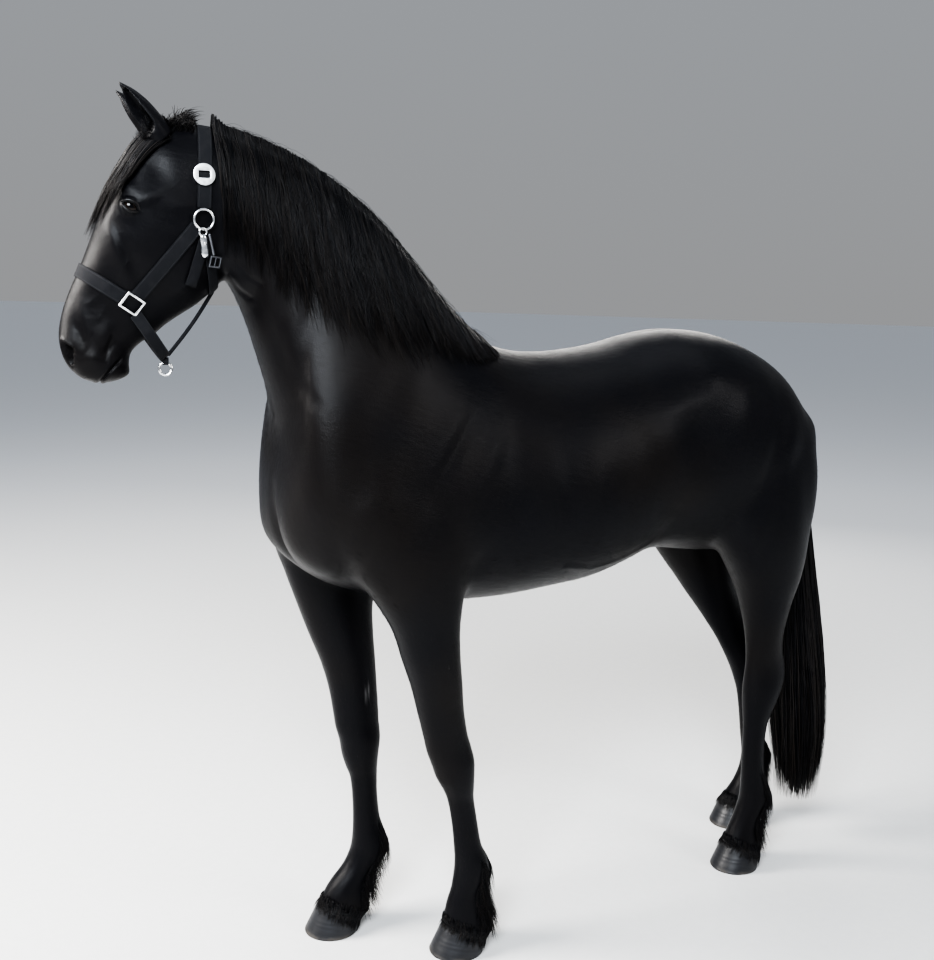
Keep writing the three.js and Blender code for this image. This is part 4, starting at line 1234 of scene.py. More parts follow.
def mane_paths(count, layer, clumps):
    """Paths for one layer of the mane, 0 next to the skin and 1 on top."""
    clump_place = (np.arange(clumps) + random.uniform(-0.4, 0.4, clumps)) / (clumps - 1)
    clump_lean = 0.13 + 0.12 * clump_place + random.uniform(-0.05, 0.05, clumps)
    clump_drop = random.uniform(0.70, 1.08, clumps)
    clump_wave = random.uniform(2.0, 9.0, clumps)
    clump_phase = random.uniform(0, 2 * math.pi, clumps)
    clump_length = random.uniform(130, 260, clumps)
    clump_lift = random.uniform(0, 1, clumps)
    mine = random.integers(0, clumps, count)
    spread = random.normal(0, 0.85, count) / clumps
    place = np.clip(clump_place[mine] + spread, 0, 1)
    offset = (place - clump_place[mine]) * (MANE_TO - MANE_FROM)
    x_root = MANE_FROM + (MANE_TO - MANE_FROM) * place
    crest = np.interp(x_root, crest_x, crest_z)
    y_root = random.uniform(-10, 12, count)
    drop = along(MANE_DROP, place)[:, 0] * clump_drop[mine] * random.triangular(0.55, 0.98, 1.06, count)
    rows = []
    lift = 3 + 9 * layer + 7 * clump_lift[mine] + random.uniform(0, 6, count)
    share = np.linspace(0, 1, MANE_ROWS - 2)
    own_lean = random.normal(0, 0.012, count)
    own_wave = random.uniform(0.5, 4.0, count)
    own_phase = random.uniform(0, 2 * math.pi, count)
    rows.append(np.stack([x_root, y_root, crest - 5 - 0.02 * y_root**2], 1))
    rise = 5 + lift * 0.55 + random.uniform(0, 3, count)
    rise = rise + 20 * np.exp(-((place / 0.03) ** 2)) * random.uniform(0, 1, count)
    rows.append(np.stack([x_root + 2, y_root * 0.6 - 7, crest + rise - 3], 1))
    for f in share:
        fall = 10 + (drop - 10) * (0.04 + 0.96 * f)
        phase = fall / clump_length[mine] * 2 * math.pi + clump_phase[mine]
        wave = clump_wave[mine] * f**0.6 * np.sin(phase)
        own = own_lean * fall + own_wave * f * np.sin(fall / 90 + own_phase)
        x = x_root + clump_lean[mine] * fall + wave + own - offset * 0.62 * f**1.3
        z = crest - fall
        stand = lift * (1 - 0.35 * f) + 3 * f * np.sin(fall / 60 + clump_phase[mine])
        y = -np.maximum(side_at(x, z), 18.0 * np.sqrt(max(f, 0.0)) + 6) - stand - 2
        rows.append(np.stack([x, y, z], 1))
    return np.stack(rows, 1)


def mane_facing(paths):
    facing = np.zeros_like(paths)
    facing[..., 1] = -1
    facing[:, :2, 2] = 1.2
    facing[:, :2, 1] = -0.5
    facing[:, 2, 2] = 0.8
    facing[..., 0] = random.uniform(-0.3, 0.3, len(paths))[:, None]
    return unit(facing)


# name, number of locks, layer from the skin (0) outwards (1), number of tresses
MANE_LAYERS = [
    ("mane_under", 1750, 0.0, 60),
    ("mane_middle", 2100, 0.55, 105),
    ("mane_top", 2300, 1.0, 170),
]
for part, count, layer, clumps in MANE_LAYERS:
    paths = mane_paths(count, layer, clumps)
    width = random.uniform(1.5, 3.0, count) * (1.3 - 0.45 * layer)
    facing = mane_facing(paths)
    shade = random.uniform(0, 1, count) ** 2
    strands(part, paths, facing, width, width * 0.3, shade, LONG_HAIR)

# %% Stray hairs over the crest
count = 260
root_x = random.uniform(MANE_FROM + 5, MANE_TO - 40, count)
long = random.uniform(45, 120, count)
tall = random.uniform(8, 30, count)
side = random.uniform(-1.0, 0.5, count)
rows = []
for f in np.linspace(0, 1, 8):
    x = root_x + long * f
    crest = np.interp(x, crest_x, crest_z)
    up = tall * np.sin(math.pi * min(0.15 + 0.75 * f, 1.0)) * 1.05
    rows.append(np.stack([x, side * (6 + 26 * f), crest - 6 + up], 1))
paths = np.stack(rows, 1)
facing = unit(facing_ways(paths, 0, -0.6, 0.8))
shade = random.uniform(0, 0.6, count)
strands("mane_stray", paths, facing, np.full(count, 0.8), np.full(count, 0.35), shade, LONG_HAIR)

# %% [markdown]
# ## Forelock and the tuft at the poll
# The forelock falls from between the ears over the forehead, thin towards its tips. Behind the ears
# the hair is short and stands up, before the bare place where the halter's crown lies. Finer hair
# fills the lower half of each ear.

# %% Forelock
FORELOCK_ROOT = (-566, 2052.0)
FORELOCK_TOP = (-590, 2070)


def forelock_paths(count):
    clumps = 16
    clump_angle = np.linspace(-0.85, 0.75, clumps) + random.uniform(-0.04, 0.04, clumps)
    clump_end = random.uniform(-1.7, 0.6, clumps)
    clump_wave = random.uniform(-0.05, 0.05, clumps)
    mine = random.integers(0, clumps, count)
    own = random.normal(0, 0.07, count)
    angle = clump_angle[mine] + own
    end = BROW_ROW + 0.4 + clump_end[mine] - 1.2 * np.abs(clump_angle[mine])
    end = end + random.uniform(-1.2, 0.3, count)
    root_x = random.uniform(-8, 14, count) + FORELOCK_ROOT[0]
    top_x = random.uniform(-6, 6, count) + FORELOCK_TOP[0]
    top_z = random.uniform(0, 11, count) + FORELOCK_TOP[1]
    rows = [
        np.stack([root_x, angle * 26, np.full(count, FORELOCK_ROOT[1])], 1),
        np.stack([top_x, angle * 34, top_z], 1),
    ]
    lift = random.uniform(2, 12, count)
    for f in np.linspace(0.14, 1, 9):
        row = POLL_ROW + (end - POLL_ROW) * f
        place = np.clip(row / (len(BODY) - 1), 0, 1)
        now = (clump_angle[mine] + own * (1 - 0.7 * f)) * (0.72 + 0.3 * f)
        now = now + clump_wave[mine] * math.sin(5 * f)
        rows.append(body_point(place, now, lift * (1 - 0.2 * f) + 1.5 + 6 * f**3))
    return np.stack(rows, 1)


paths = forelock_paths(1100)
facing = np.zeros_like(paths)
facing[..., 0] = -0.9
facing[..., 1] = np.clip(paths[..., 1] / 60, -0.9, 0.9)
facing[..., 2] = 0.35
facing[:, 0] = (-0.2, 0, 1)
long_locks("forelock", paths, facing, (2.2, 3.8))

# %% Hair that stands up behind the ears
count = 1000
x = random.uniform(-598, -520, count)
y = random.uniform(-42, 38, count)
middle_share = 1 - 0.5 * np.abs(y + 2) / 42
tall = random.triangular(8, 26, 52, count) * middle_share * (0.30 + 0.70 * np.exp(-(((x + 554) / 26) ** 2)))
lean = random.normal(0.75, 0.4, count)
part = random.normal(-0.1, 0.4, count)
down = Vector((0, 0, -1))
poll_z = np.array([tree.ray_cast(Vector((*spot, 2300)), down, 400)[0].z for spot in zip(x, y)])
poll_z = np.minimum(poll_z, 2072)
rows = []
for f in np.linspace(0, 1, 7):
    back = x + lean * tall * f**1.6
    aside = y + part * tall * f**1.4 - 7 * f * f
    up = poll_z - 5 + (tall + 6) * np.sin(f * 1.7) * 0.98
    rows.append(np.stack([back, aside, up], 1))
paths = np.stack(rows, 1)
facing = unit(facing_ways(paths, random.uniform(-1, 1, count), -1, 0))
width = random.uniform(0.9, 1.9, count)
shade = random.uniform(0, 0.7, count)
strands("poll_tuft", paths, facing, width, width * 0.4, shade, LONG_HAIR)

# %% Hair in the ears
def ear_hair_paths(side, count):
    root, tip, axis, across, opening = ear_frame(side)
    long = np.linalg.norm(tip - root)
    level = random.triangular(0.06, 0.2, 0.5, count)
    sideways = random.uniform(-17, 17, count) * (1 - 0.5 * level)
    above = root + axis * (long * level)[:, None] + across * sideways[:, None] + opening * 70
    hits = [tree.ray_cast(Vector(spot), Vector(-opening), 110)[0] for spot in above]
    roots = np.array([hit if hit is not None else spot for hit, spot in zip(hits, above - opening * 60)])
    length = random.uniform(14, 30, count)
    inward = -across * (sideways / 17 * random.uniform(0.1, 0.5, count))[:, None]
    rows = []
    for f in np.linspace(0, 1, 5):
        rise = length * (0.42 * math.sin(2.2 * f) + 0.03) - 1.2
        rows.append(roots + (axis * 0.9 + inward) * (length * f)[:, None] + opening * rise[:, None])
    return np.stack(rows, 1), opening


for side, word in ((-1, "left"), (1, "right")):
    paths, opening = ear_hair_paths(side, 170)
    facing = np.tile(opening, (*paths.shape[:2], 1)) + random.normal(0, 0.2, (len(paths), 1, 3))
    long_locks("ear_hair_" + word, paths, facing, (1.0, 2.0), 0.25, 0.7)

# %% [markdown]
# ## The tail
# The dock is a short stem of skin and muscle that the skin does not reach, so it is a piece of its
# own. Strands grow all round it and hang down to the fetlocks. Inner strands fill the tail, outer
# ones make its waves, and a few end higher up, so that the lower edge thins out. Where the tail
# leaves the croup, finer locks root in the skin and lie back over it, so that no step shows.

# %% Tail paths
def tail_point(t, angle, reach):
    row = along(TAIL, t)
    return np.stack([
        row[:, 0] + row[:, 3] * reach * np.cos(angle),
        row[:, 1] + 0.92 * row[:, 3] * reach * np.sin(angle),
        row[:, 2],
    ], 1)


def dock_shape(place, angle):
    thick = 0.46 * np.sqrt(np.maximum(1 - place**6, 0.0001))
    return tail_point(0.5 * place, angle, thick)


dock = merged("dock", [rolled(60, 24, dock_shape)])
note(dock.data, "shade", np.full(len(dock.data.vertices), 0.3))
note(dock.data, "tipward", np.full(len(dock.data.vertices), 0.2))
bake_places(dock.data)
into_place(dock, LONG_HAIR)
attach(dock, "root")
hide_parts("tail")


def tail_paths(count, outer):
    clumps = 70
    clump_angle = random.uniform(0, 2 * math.pi, clumps)
    clump_wave = random.uniform(0.02, 0.10, clumps)
    clump_phase = random.uniform(0, 2 * math.pi, clumps)
    mine = random.integers(0, clumps, count)
    own = random.normal(0, 0.16, count)
    angle = clump_angle[mine] + own
    start = random.uniform(0.02, 0.46, count)
    reach = random.uniform(0.72, 1.04, count) if outer else random.uniform(0.1, 0.8, count)
    end = np.clip(random.normal(0.93, 0.07, count), 0.6, 1.03)
    rows = []
    for f in (0, 0.05, 0.12, 0.24, 0.38, 0.52, 0.66, 0.78, 0.9, 1.0):
        t = start + (end - start) * f
        out = 0.3 + (reach - 0.3) * min(1, (f / 0.16)) ** 0.6
        out = out * (1 - 0.18 * max(0, f - 0.6) / 0.4)
        now = clump_angle[mine] + own * (1 - 0.45 * f) + clump_wave[mine] * np.sin(9 * f + clump_phase[mine])
        point = tail_point(t, now, out)
        over = np.maximum(t - 1, 0)
        point[:, 2] -= over * 1400
        wave = clump_wave[mine] * 60 * f * np.sin(13 * f + clump_phase[mine])
        point[:, 0] += wave * 0.6
        point[:, 1] += wave * 0.5
        rows.append(point)
    return np.stack(rows, 1), angle


TAIL_LAYERS = [("tail_inner", 1800, False, (6, 10)), ("tail_outer", 2650, True, (3.4, 6.5))]
for part, count, outer, widths in TAIL_LAYERS:
    paths, angle = tail_paths(count, outer)
    facing = facing_ways(paths, np.cos(angle), np.sin(angle), 0)
    long_locks(part, paths, facing, widths, taper=3.0)

# %% Where the tail leaves the croup
TAIL_HEAD = (1198, 1450)


def tail_head_paths(count):
    """Locks that root in the skin round the tail head and lie back over the start of the tail."""
    angle = random.uniform(-math.pi, math.pi, count)
    over = np.abs(angle) / math.pi
    ahead = random.triangular(-6, 4, 46, count) * (1 - 0.4 * over)
    aside = (40 + 6 * over - 0.5 * ahead) * np.sin(angle)
    start = np.stack([TAIL_HEAD[0] - ahead, aside, TAIL_HEAD[1] + 42 * np.cos(angle)], 1)
    nearest = [tree.find_nearest(Vector(spot)) for spot in start]
    roots = np.array([hit[0] for hit in nearest])
    ways = np.array([hit[1] for hit in nearest])
    end = random.uniform(0.10, 0.26, count)
    from_axis = np.arctan2(roots[:, 1], 0.35 * (roots[:, 2] - TAIL_HEAD[1] + 20) + 4)
    rows = [roots - ways * 1.5, roots + ways * 1.2 + np.array([7.0, 0, -3.0])]
    for f in np.linspace(0.3, 1, 6):
        on_tail = tail_point(0.02 + end * f, from_axis, 1.12 - 0.08 * f)
        share = min(1.0, f / 0.62)
        share = share * share * (3 - 2 * share)
        on_skin = roots + ways * 2 + np.array([26.0, 0, -14.0]) * f
        rows.append(on_skin * (1 - share) + on_tail * share)
    return np.stack(rows, 1), from_axis, ways


paths, angle, ways = tail_head_paths(520)
facing = facing_ways(paths, np.cos(angle), np.sin(angle), 0)
facing[:, :4, 2] = 1.0
long_locks("tail_head", paths, facing, (1.6, 3.4), 0.2, 0.8, lit=ways)

# %% [markdown]
# ## Feathers
# Long hair grows at the back of each cannon and all round the fetlock, and hangs over the heel of
# the hoof. It is longest behind the fetlock joint.

# %% Feather paths
def leg_rows_at(rows, height):
    place = np.linspace(0, 1, 400)
    table = along(rows, place)
    return along(rows, np.interp(height, table[:, 0], place))


def feather_paths(rows, side, count):
    clumps = 64
    clump_angle = math.pi + random.uniform(-1.3, 1.3, clumps)
    clump_height = random.triangular(86, 170, 320, clumps)
    clump_sway = random.uniform(-0.25, 0.25, clumps)
    mine = random.integers(0, clumps, count)
    angle = clump_angle[mine] + random.normal(0, 0.12, count)
    height = np.clip(clump_height[mine] + random.normal(0, 14, count), 84, 345)
    behind = np.abs(angle - math.pi)
    length = random.uniform(80, 128, count) - 26 * behind
    length = length * (0.62 + 0.4 * np.exp(-(((height - 215) / 90) ** 2)))
    sway = clump_sway[mine] + random.normal(0, 0.08, count)
    flare = random.uniform(0.16, 0.40, count) * (1 - 0.35 * behind)
    flare = flare * (0.12 + 0.88 * (1 - smooth(height, 190, 300)))
    root = leg_rows_at(rows, height)
    paths = []
    for f in np.linspace(0, 1, 7):
        low = np.maximum(height - length * f, 12 + 8 * (1 - f))
        row = leg_rows_at(rows, np.maximum(low, height - length * 0.5))
        half = (row[:, 2] - row[:, 1]) / 2
        out = -4 + (6 + length * flare) * f ** 1.15
        turn = angle + sway * f
        paths.append(np.stack([
            (row[:, 1] + row[:, 2]) / 2 - (half + out) * np.cos(turn),
            side * root[:, 3] + (row[:, 4] + out * 0.8) * np.sin(turn),
            low,
        ], 1))
    return np.stack(paths, 1), angle


for name, (rows, side) in LEGS.items():
    paths, angle = feather_paths(rows, side, 1150)
    facing = facing_ways(paths, -np.cos(angle), np.sin(angle), 0.3)
    long_locks(name + "_feather", paths, facing, (1.3, 2.7), 0.35)

# %% [markdown]
# ## Short coat
# Most of the short coat is bump. Over it lie thin tufts that follow the body, on every side: densest
# under the belly, dense on ears and legs, sparse under the mane and round the eyes, and smallest on
# face, ears and feet. They take the light as the skin does, so that only their edges show.

# %% Tufts of the short coat
def lie_of(points, shares):
    ways = np.array([(1.0, 0, -0.28), (0.5, 0, -0.86), (-0.42, 0, -0.9), (0.08, 0, -1.0)])
    way = np.tile(ways[0], (len(points), 1))
    for k, target in ((1, 1), (0, 2), (2, 3)):
        way = way * (1 - shares[:, k : k + 1]) + ways[target] * shares[:, k : k + 1]
    return unit(way)


corner_points = straight[faces]
middle = corner_points.mean(1)
normal = np.cross(corner_points[:, 1] - corner_points[:, 0], corner_points[:, 2] - corner_points[:, 0])
area = np.linalg.norm(normal, axis=1) / 2
normal = unit(normal)
face_share = lie_shares(middle)
under_mane = (middle[:, 1] < 0) & (face_share[:, 1] > 0.5)
belly = (normal[:, 2] < -0.35) & (middle[:, 2] > 880) & (face_share[:, 0] < 0.5)
on_ear = (middle[:, 0] < -570) & (middle[:, 2] > 2050)
ear_lie = ear_frame(-1)[2] * [1, 0, 1]
lips = (middle[:, 0] < -655) & (middle[:, 2] < 1600)
eye_spots = [(EYE_AT[0], side * (EYE_OUT + 20), EYE_AT[1]) for side in (-1, 1)]
near_eye = np.min([np.linalg.norm(middle - spot, axis=1) for spot in eye_spots], 0) < 30
weight = area * (1 + 1.6 * belly + 0.8 * on_ear + 0.9 * face_share[:, 2] + 0.5 * (face_share[:, 0] > 0.5))
weight[under_mane | near_eye | (middle[:, 2] < 75)] *= 0.05
weight[lips] *= 0.4
regions = {
    "short_coat_trunk": (4900, (face_share[:, 1] < 0.5) & (face_share[:, 2] < 0.5)),
    "short_coat_head": (3700, (face_share[:, 1] >= 0.5) & (face_share[:, 2] < 0.5)),
    "short_coat_legs": (4200, face_share[:, 2] >= 0.5),
}
for name, (count, here) in regions.items():
    chance = np.where(here, weight, 0)
    chosen = random.choice(len(faces), count, p=chance / chance.sum())
    split = np.sort(random.uniform(0, 1, (count, 2)), axis=1)
    shares3 = np.stack([split[:, 0], split[:, 1] - split[:, 0], 1 - split[:, 1]], 1)
    root = (corner_points[chosen] * shares3[:, :, None]).sum(1)
    out = normal[chosen]
    way = np.where(on_ear[chosen][:, None], ear_lie, lie_of(root, lie_shares(root)))
    way = unit(way + random.normal(0, 0.12, (count, 3)))
    way = unit(way - out * (way * out).sum(1)[:, None])
    fine = np.where(face_share[chosen, 0] > 0.5, 0.55, 1.0)
    fine = fine * np.where(face_share[chosen, 2] > 0.5, 0.75, 1.0) * np.where(on_ear[chosen], 0.6, 1.0)
    long = random.uniform(13, 21, count) * fine
    high = random.uniform(0.3, 1.0, count) * np.where(belly[chosen], 1.6, 1.0) * fine
    rows = [root - out * 0.8]
    for far, rise in ((0.35, 0.7), (0.7, 1.0), (1.0, 0.8)):
        rows.append(root + way * (long * far)[:, None] + out * (high * rise)[:, None])
    paths = np.stack(rows, 1)
    width = random.uniform(0.9, 1.9, count) * fine
    shade = random.uniform(0, 1, count) ** 2
    facing = np.repeat(out[:, None], len(rows), 1)
    tufts = strands(name, paths, facing, width, width * 0.2, shade, SHORT_HAIR, lit=out)

# %% [markdown]
# ## Hooves
# The horn grows down from the coronet in fine rings. It is dark grey and a little glossy, and duller at its
# upper
# edge, where its colour is darkened too: a painted shadow of the hair that hangs over it. Each hoof is a
# tube with a slightly flared foot, cut by the slanting coronet plane, its sole flat on the floor. Short hair
# hangs over the cut all round.

# %% Horn
def horn_finish():
    horn = Finish("dark_horn")
    place = horn.place()
    rings = horn.noise(horn.stretched((0.6, 0.6, 0.0070), (0, 0.18, 0), place), 1.0, 2.0, 0.4)
    fibres = horn.noise(horn.stretched((0.0022, 0.0022, 0.05), (0, 0, 0), place), 1.0, 2.0, 0.5)
    blotch = horn.noise(place, 22.0, 3.0, 0.6)
    high = horn.node("ShaderNodeSeparateXYZ", {}, {0: place}, 2)
    colour = horn.mix(horn.band(rings, 0.3, 0.7), (0.0072, 0.0076, 0.0095), (0.0125, 0.0132, 0.0160))
    colour = horn.mix(horn.band(blotch, 0.5, 0.75) * 0.35, colour, (0.036, 0.034, 0.031))
    dust = (1 - horn.band(high, 0.002, 0.014)) * horn.band(blotch, 0.3, 0.6)
    colour = horn.mix(dust * 0.5, colour, (0.09, 0.08, 0.068))
    # Near the coronet the horn is duller and darker; the darker colour is a painted shadow of the hair that
    # hangs over it.
    dull_edge_and_painted_hair_shadow = horn.attribute("coronet")
    colour = horn.mix(dull_edge_and_painted_hair_shadow, colour, (0.0035, 0.0035, 0.0042))
    rough = 0.32 + 0.16 * blotch + 0.35 * dust + 0.1 * fibres + 0.4 * dull_edge_and_painted_hair_shadow
    horn.set(Base_Color=colour, Roughness=rough)
    horn.set(Coat_Weight=0.12 - 0.12 * dull_edge_and_painted_hair_shadow, Coat_Roughness=0.25, Specular_IOR_Level=0.32)
    horn.bump(rings * 0.5 + fibres * 0.3, 0.12, 0.0005)
    return horn.material


HORN = horn_finish()


def hoof_shape(spot):
    where, way = coronet(spot)

    def shape(place, angle):
        height = (HOOF_FRONT + 20) * place
        taper = 1 - 0.2 * place
        toe = np.where(np.cos(angle) > 0, 1.0, 0.9)
        ring = 0.10 * np.sin(height * 0.45 + 1.4 * np.sin(height * 0.17))
        edge = -2.2 * np.exp(-((height / 1.6) ** 2))
        heel = 1 - 0.05 * np.exp(-(((angle - math.pi) / 0.22) ** 2)) * (1 - 0.6 * place)
        around_x = spot[0] + place * 40 - (HOOF_LENGTH / 2) * taper * toe * heel * np.cos(angle)
        above = (around_x - where.x) * way.x + (height - where.z) * way.z
        edge = edge + ring - 3.0 * smooth(above, -14, 0)
        x = around_x - edge * np.cos(angle)
        y = spot[1] + ((HOOF_WIDTH / 2) * taper + edge) * np.sin(angle)
        return np.stack([x, y, height], 1)

    return shape


for name, spot in HOOF_SPOTS.items():
    where, way = coronet(spot)
    hoof = merged("hoof_" + name, [trimmed(rolled(90, 64, hoof_shape(spot)), where, -way)])
    above = (points_of(hoof.data) - where) @ way
    note(hoof.data, "coronet", smooth(above, -20, -6))
    move_points(hoof.data, placed(points_of(hoof.data)))
    hoof.data.polygons.foreach_set("use_smooth", [abs(face.normal.z) < 0.9 for face in hoof.data.polygons])
    hoof.data.materials.append(HORN)
    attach(hoof, "root")
    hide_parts(name + "_hoof")
    print(hoof.name, "stands on", round(min(corner.co.z for corner in hoof.data.vertices) * 1000, 2), "mm")

# %% Short hair over the edge of the horn
def fringe_paths(rows, side, spot, count):
    """Locks all round the coronet, from the skin down over the top of the horn."""
    where, way = coronet(spot)
    angle = random.uniform(0, 2 * math.pi, count)
    behind = (1 - np.cos(angle)) / 2
    length = random.uniform(16, 34, count) + 26 * behind * random.uniform(0.4, 1.0, count)
    foot = leg_rows_at(rows, np.full(count, where.z))
    rim_x = (foot[:, 1] + foot[:, 2]) / 2 - (foot[:, 2] - foot[:, 1]) / 2 * np.cos(angle)
    rim_z = where.z - (rim_x - where.x) * way.x / way.z
    start = rim_z + random.uniform(3, 24, count)
    sway = random.normal(0, 0.05, count)
    off = random.uniform(0.2, 1.8, count)
    paths = []
    for f in np.linspace(0, 1, 5):
        low = np.maximum(start - length * f, 4)
        row = leg_rows_at(rows, low)
        turn = angle + sway * f
        leg = np.stack([
            (row[:, 1] + row[:, 2]) / 2 - ((row[:, 2] - row[:, 1]) / 2 - 2) * np.cos(turn),
            side * row[:, 3] + (row[:, 4] - 2) * np.sin(turn),
            low,
        ], 1)
        horn = hoof_shape(spot)(low / (HOOF_FRONT + 20), turn)
        share = smooth(rim_z + 3 - low, 0, 7)[:, None]
        outward = np.stack([-np.cos(turn), np.sin(turn), np.full(count, 0.2)], 1)
        stand = off * (0.3 + f) + 2.2 * (f > 0.1)
        paths.append(leg * (1 - share) + horn * share + outward * stand[:, None])
    return np.stack(paths, 1), angle


for name, (rows, side) in LEGS.items():
    paths, angle = fringe_paths(rows, side, HOOF_SPOTS[name], 720)
    facing = facing_ways(paths, -np.cos(angle), np.sin(angle), 0.3)
    long_locks(name + "_fringe", paths, facing, (1.5, 2.7))

# %% [markdown]
# ## Eyes and lids
# The eye is a smooth ball, very dark brown with a wide lying pupil, under a wet clear layer. The
# lids are two soft rolls of skin along the edge of the opening, with short lashes on the upper one.

# %% Eye finish and eyeballs
def eye_finish(name, middle, outward):
    eye = Finish(name)
    offset = eye.node("ShaderNodeVectorMath", {"operation": "SUBTRACT"}, {0: eye.place(), 1: middle})
    inputs = {"Vector": offset, "Rotation": outward}
    turned = eye.node("ShaderNodeVectorRotate", {"rotation_type": "EULER_XYZ"}, inputs)
    x = eye.node("ShaderNodeSeparateXYZ", {}, {0: turned}, 0)
    z = eye.node("ShaderNodeSeparateXYZ", {}, {0: turned}, 2)
    pupil = ((x / 0.0072) ** 2.0 + (z / 0.0042) ** 2.0) ** 0.5
    iris = ((x / 0.0125) ** 2.0 + (z / 0.0118) ** 2.0) ** 0.5
    grain = eye.noise(eye.place(), 420.0, 2.0, 0.5)
    colour = eye.mix(grain, (0.012, 0.0065, 0.0035), (0.005, 0.003, 0.002))
    colour = eye.mix(eye.band(pupil, 1.1, 0.9), colour, (0.0012, 0.0014, 0.0024))
    colour = eye.mix(eye.band(iris, 0.95, 1.1), colour, (0.003, 0.0022, 0.002))
    eye.set(Base_Color=colour, Roughness=0.10 + 0.05 * grain)
    eye.set(Specular_IOR_Level=0.25, Coat_Weight=0.22, Coat_Roughness=0.04)
    return eye.material


LID = Finish("bare_lid")
pores = LID.noise(LID.place(), 260.0, 3.0, 0.6)
LID.set(Base_Color=LID.mix(pores, (0.0034, 0.0031, 0.0033), (0.0075, 0.0064, 0.0062)))
LID.set(Roughness=0.36, Specular_IOR_Level=0.3)
creases = LID.noise(LID.stretched((0.006, 0.0012, 0.0012), (0, 0.4, 0)), 1.0, 2.0, 0.5)
LID.bump(creases, 0.4, 0.0006)

for side, word in ((-1, "left"), (1, "right")):
    middle, lengthwise, upward, outward = eye_frame(side)
    work = bmesh.new()
    bmesh.ops.create_uvsphere(work, u_segments=64, v_segments=40, radius=EYE_RADIUS)
    bmesh.ops.transform(work, matrix=Matrix.Translation(middle), verts=work.verts)
    eyeball = merged("eyeball_" + word, [work])
    centre = placed([middle])[0]
    turn = (0.0, -HEAD_TILT, HEAD_TURN)
    into_place(eyeball, eye_finish("dark_eye_" + word, tuple(centre), turn))
    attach(eyeball, "root")
    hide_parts("eye_" + word)

    def lid_roll(place, angle):
        turn = place * 2 * math.pi
        reach = np.cos(turn)
        top, bottom = lid_edge(reach)
        height = np.where(np.sin(turn) >= 0, top, bottom)
        flat = lengthwise * (reach * LID_HALF_LENGTH)[:, None] + upward * height[:, None]
        stand = np.sqrt(np.maximum((EYE_RADIUS + 0.9) ** 2 - (flat**2).sum(1), 1))
        path = flat + outward * stand[:, None]
        away = unit(flat + lengthwise * 1e-4)
        radial = unit(path)
        thick = np.where(np.sin(turn) >= 0, 2.7, 2.1) * (0.75 + 0.25 * np.abs(np.sin(turn)))
        move = away * (thick * 1.5 * (np.cos(angle) + 0.75))[:, None]
        move = move + radial * (thick * (np.sin(angle) * 0.8 + 0.1))[:, None]
        return middle + path + move

    roll = bmesh.new()
    bmesh.ops.create_grid(roll, x_segments=16, y_segments=96, size=0.5)
    flat = np.array([vert.co for vert in roll.verts])
    spots = lid_roll(flat[:, 1] + 0.5, (flat[:, 0] + 0.5) * 2 * math.pi)
    for vert, spot in zip(roll.verts, spots):
        vert.co = spot
    bmesh.ops.remove_doubles(roll, verts=roll.verts, dist=0.02)
    bmesh.ops.recalc_face_normals(roll, faces=roll.faces)
    lids = merged("lids_" + word, [roll])
    bake_places(lids.data)
    into_place(lids, LID.material)
    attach(lids, "root")

    count = 90
    reach = random.uniform(-0.75, 0.85, count)
    top, _ = lid_edge(reach)
    flat = lengthwise * (reach * LID_HALF_LENGTH)[:, None] + upward * (top + 2.0)[:, None]
    stand = np.sqrt(np.maximum(24.0**2 - (flat**2).sum(1), 1)) - 0.5
    root = middle + flat + outward * stand[:, None]
    long = random.uniform(7, 13, count)
    rows = []
    for f in np.linspace(0, 1, 5):
        spot = root + outward * (long * f)[:, None]
        spot = spot + upward * (long * (0.45 * f * f - 0.5 * f))[:, None]
        rows.append(spot - lengthwise * (long * 0.25 * f)[:, None])
    paths = np.stack(rows, 1)
    facing = facing_ways(paths, *upward)
    same = np.ones(count)
    strands("lashes_" + word, paths, facing, 0.7 * same, 0.3 * same, 0.1 * same, LONG_HAIR)
    print("eye", word, "at", centre.round(3).tolist())

# %% [markdown]
# ## Putting fittings on the head
# A fitting is made flat and then seated: its own upward axis turns onto the outward direction of
# the skin at a spot of the side view, and it is lifted clear of strap and hair.

# %% Seats on the head
def face_spot(x, z, side):
    hit = tree.ray_cast(Vector((x, side * 400, z)), Vector((0, -side, 0)), 400)
    return np.array(hit[0])


def seat(x, z, side, lift, spin=0.0):
    spot = face_spot(x, z, side)
    step = 14
    fore = face_spot(x - step, z, side)
    aft = face_spot(x + step, z, side)
    low = face_spot(x, z - step, side)
    top = face_spot(x, z + step, side)
    normal = unit(np.cross(aft - fore, top - low)) * -1
    normal = normal if normal[1] * side > 0 else -normal
    right = unit(np.array([1.0, 0, 0]) - normal * normal[0])
    above = np.cross(normal, right)
    turn = Matrix((right, above, normal)).transposed().to_4x4()
    return Matrix.Translation(spot + normal * lift) @ turn @ Matrix.Rotation(spin, 4, "Z")


def fitting(name, work, where, finish, nodes_replaced):
    bmesh.ops.transform(work, matrix=where, verts=work.verts)
    if where.determinant() < 0:
        bmesh.ops.reverse_faces(work, faces=work.faces)
    thing = merged(name, [work])
    into_place(thing, finish)
    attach(thing, "root")
    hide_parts(*nodes_replaced)
    return thing


def torus(radius, bar):
    work = bmesh.new()
    bmesh.ops.create_circle(work, segments=20, radius=bar)
    stood_up = Matrix.Translation((radius, 0, 0)) @ Matrix.Rotation(math.pi / 2, 4, "X")
    bmesh.ops.transform(work, matrix=stood_up, verts=work.verts)
    bmesh.ops.spin(
        work,
        geom=work.verts[:] + work.edges[:],
        cent=(0, 0, 0),
        axis=(0, 0, 1),
        angle=2 * math.pi,
        steps=64,
        use_merge=True,
    )
    bmesh.ops.remove_doubles(work, verts=work.verts, dist=1e-3)
    bmesh.ops.recalc_face_normals(work, faces=work.faces)
    return work


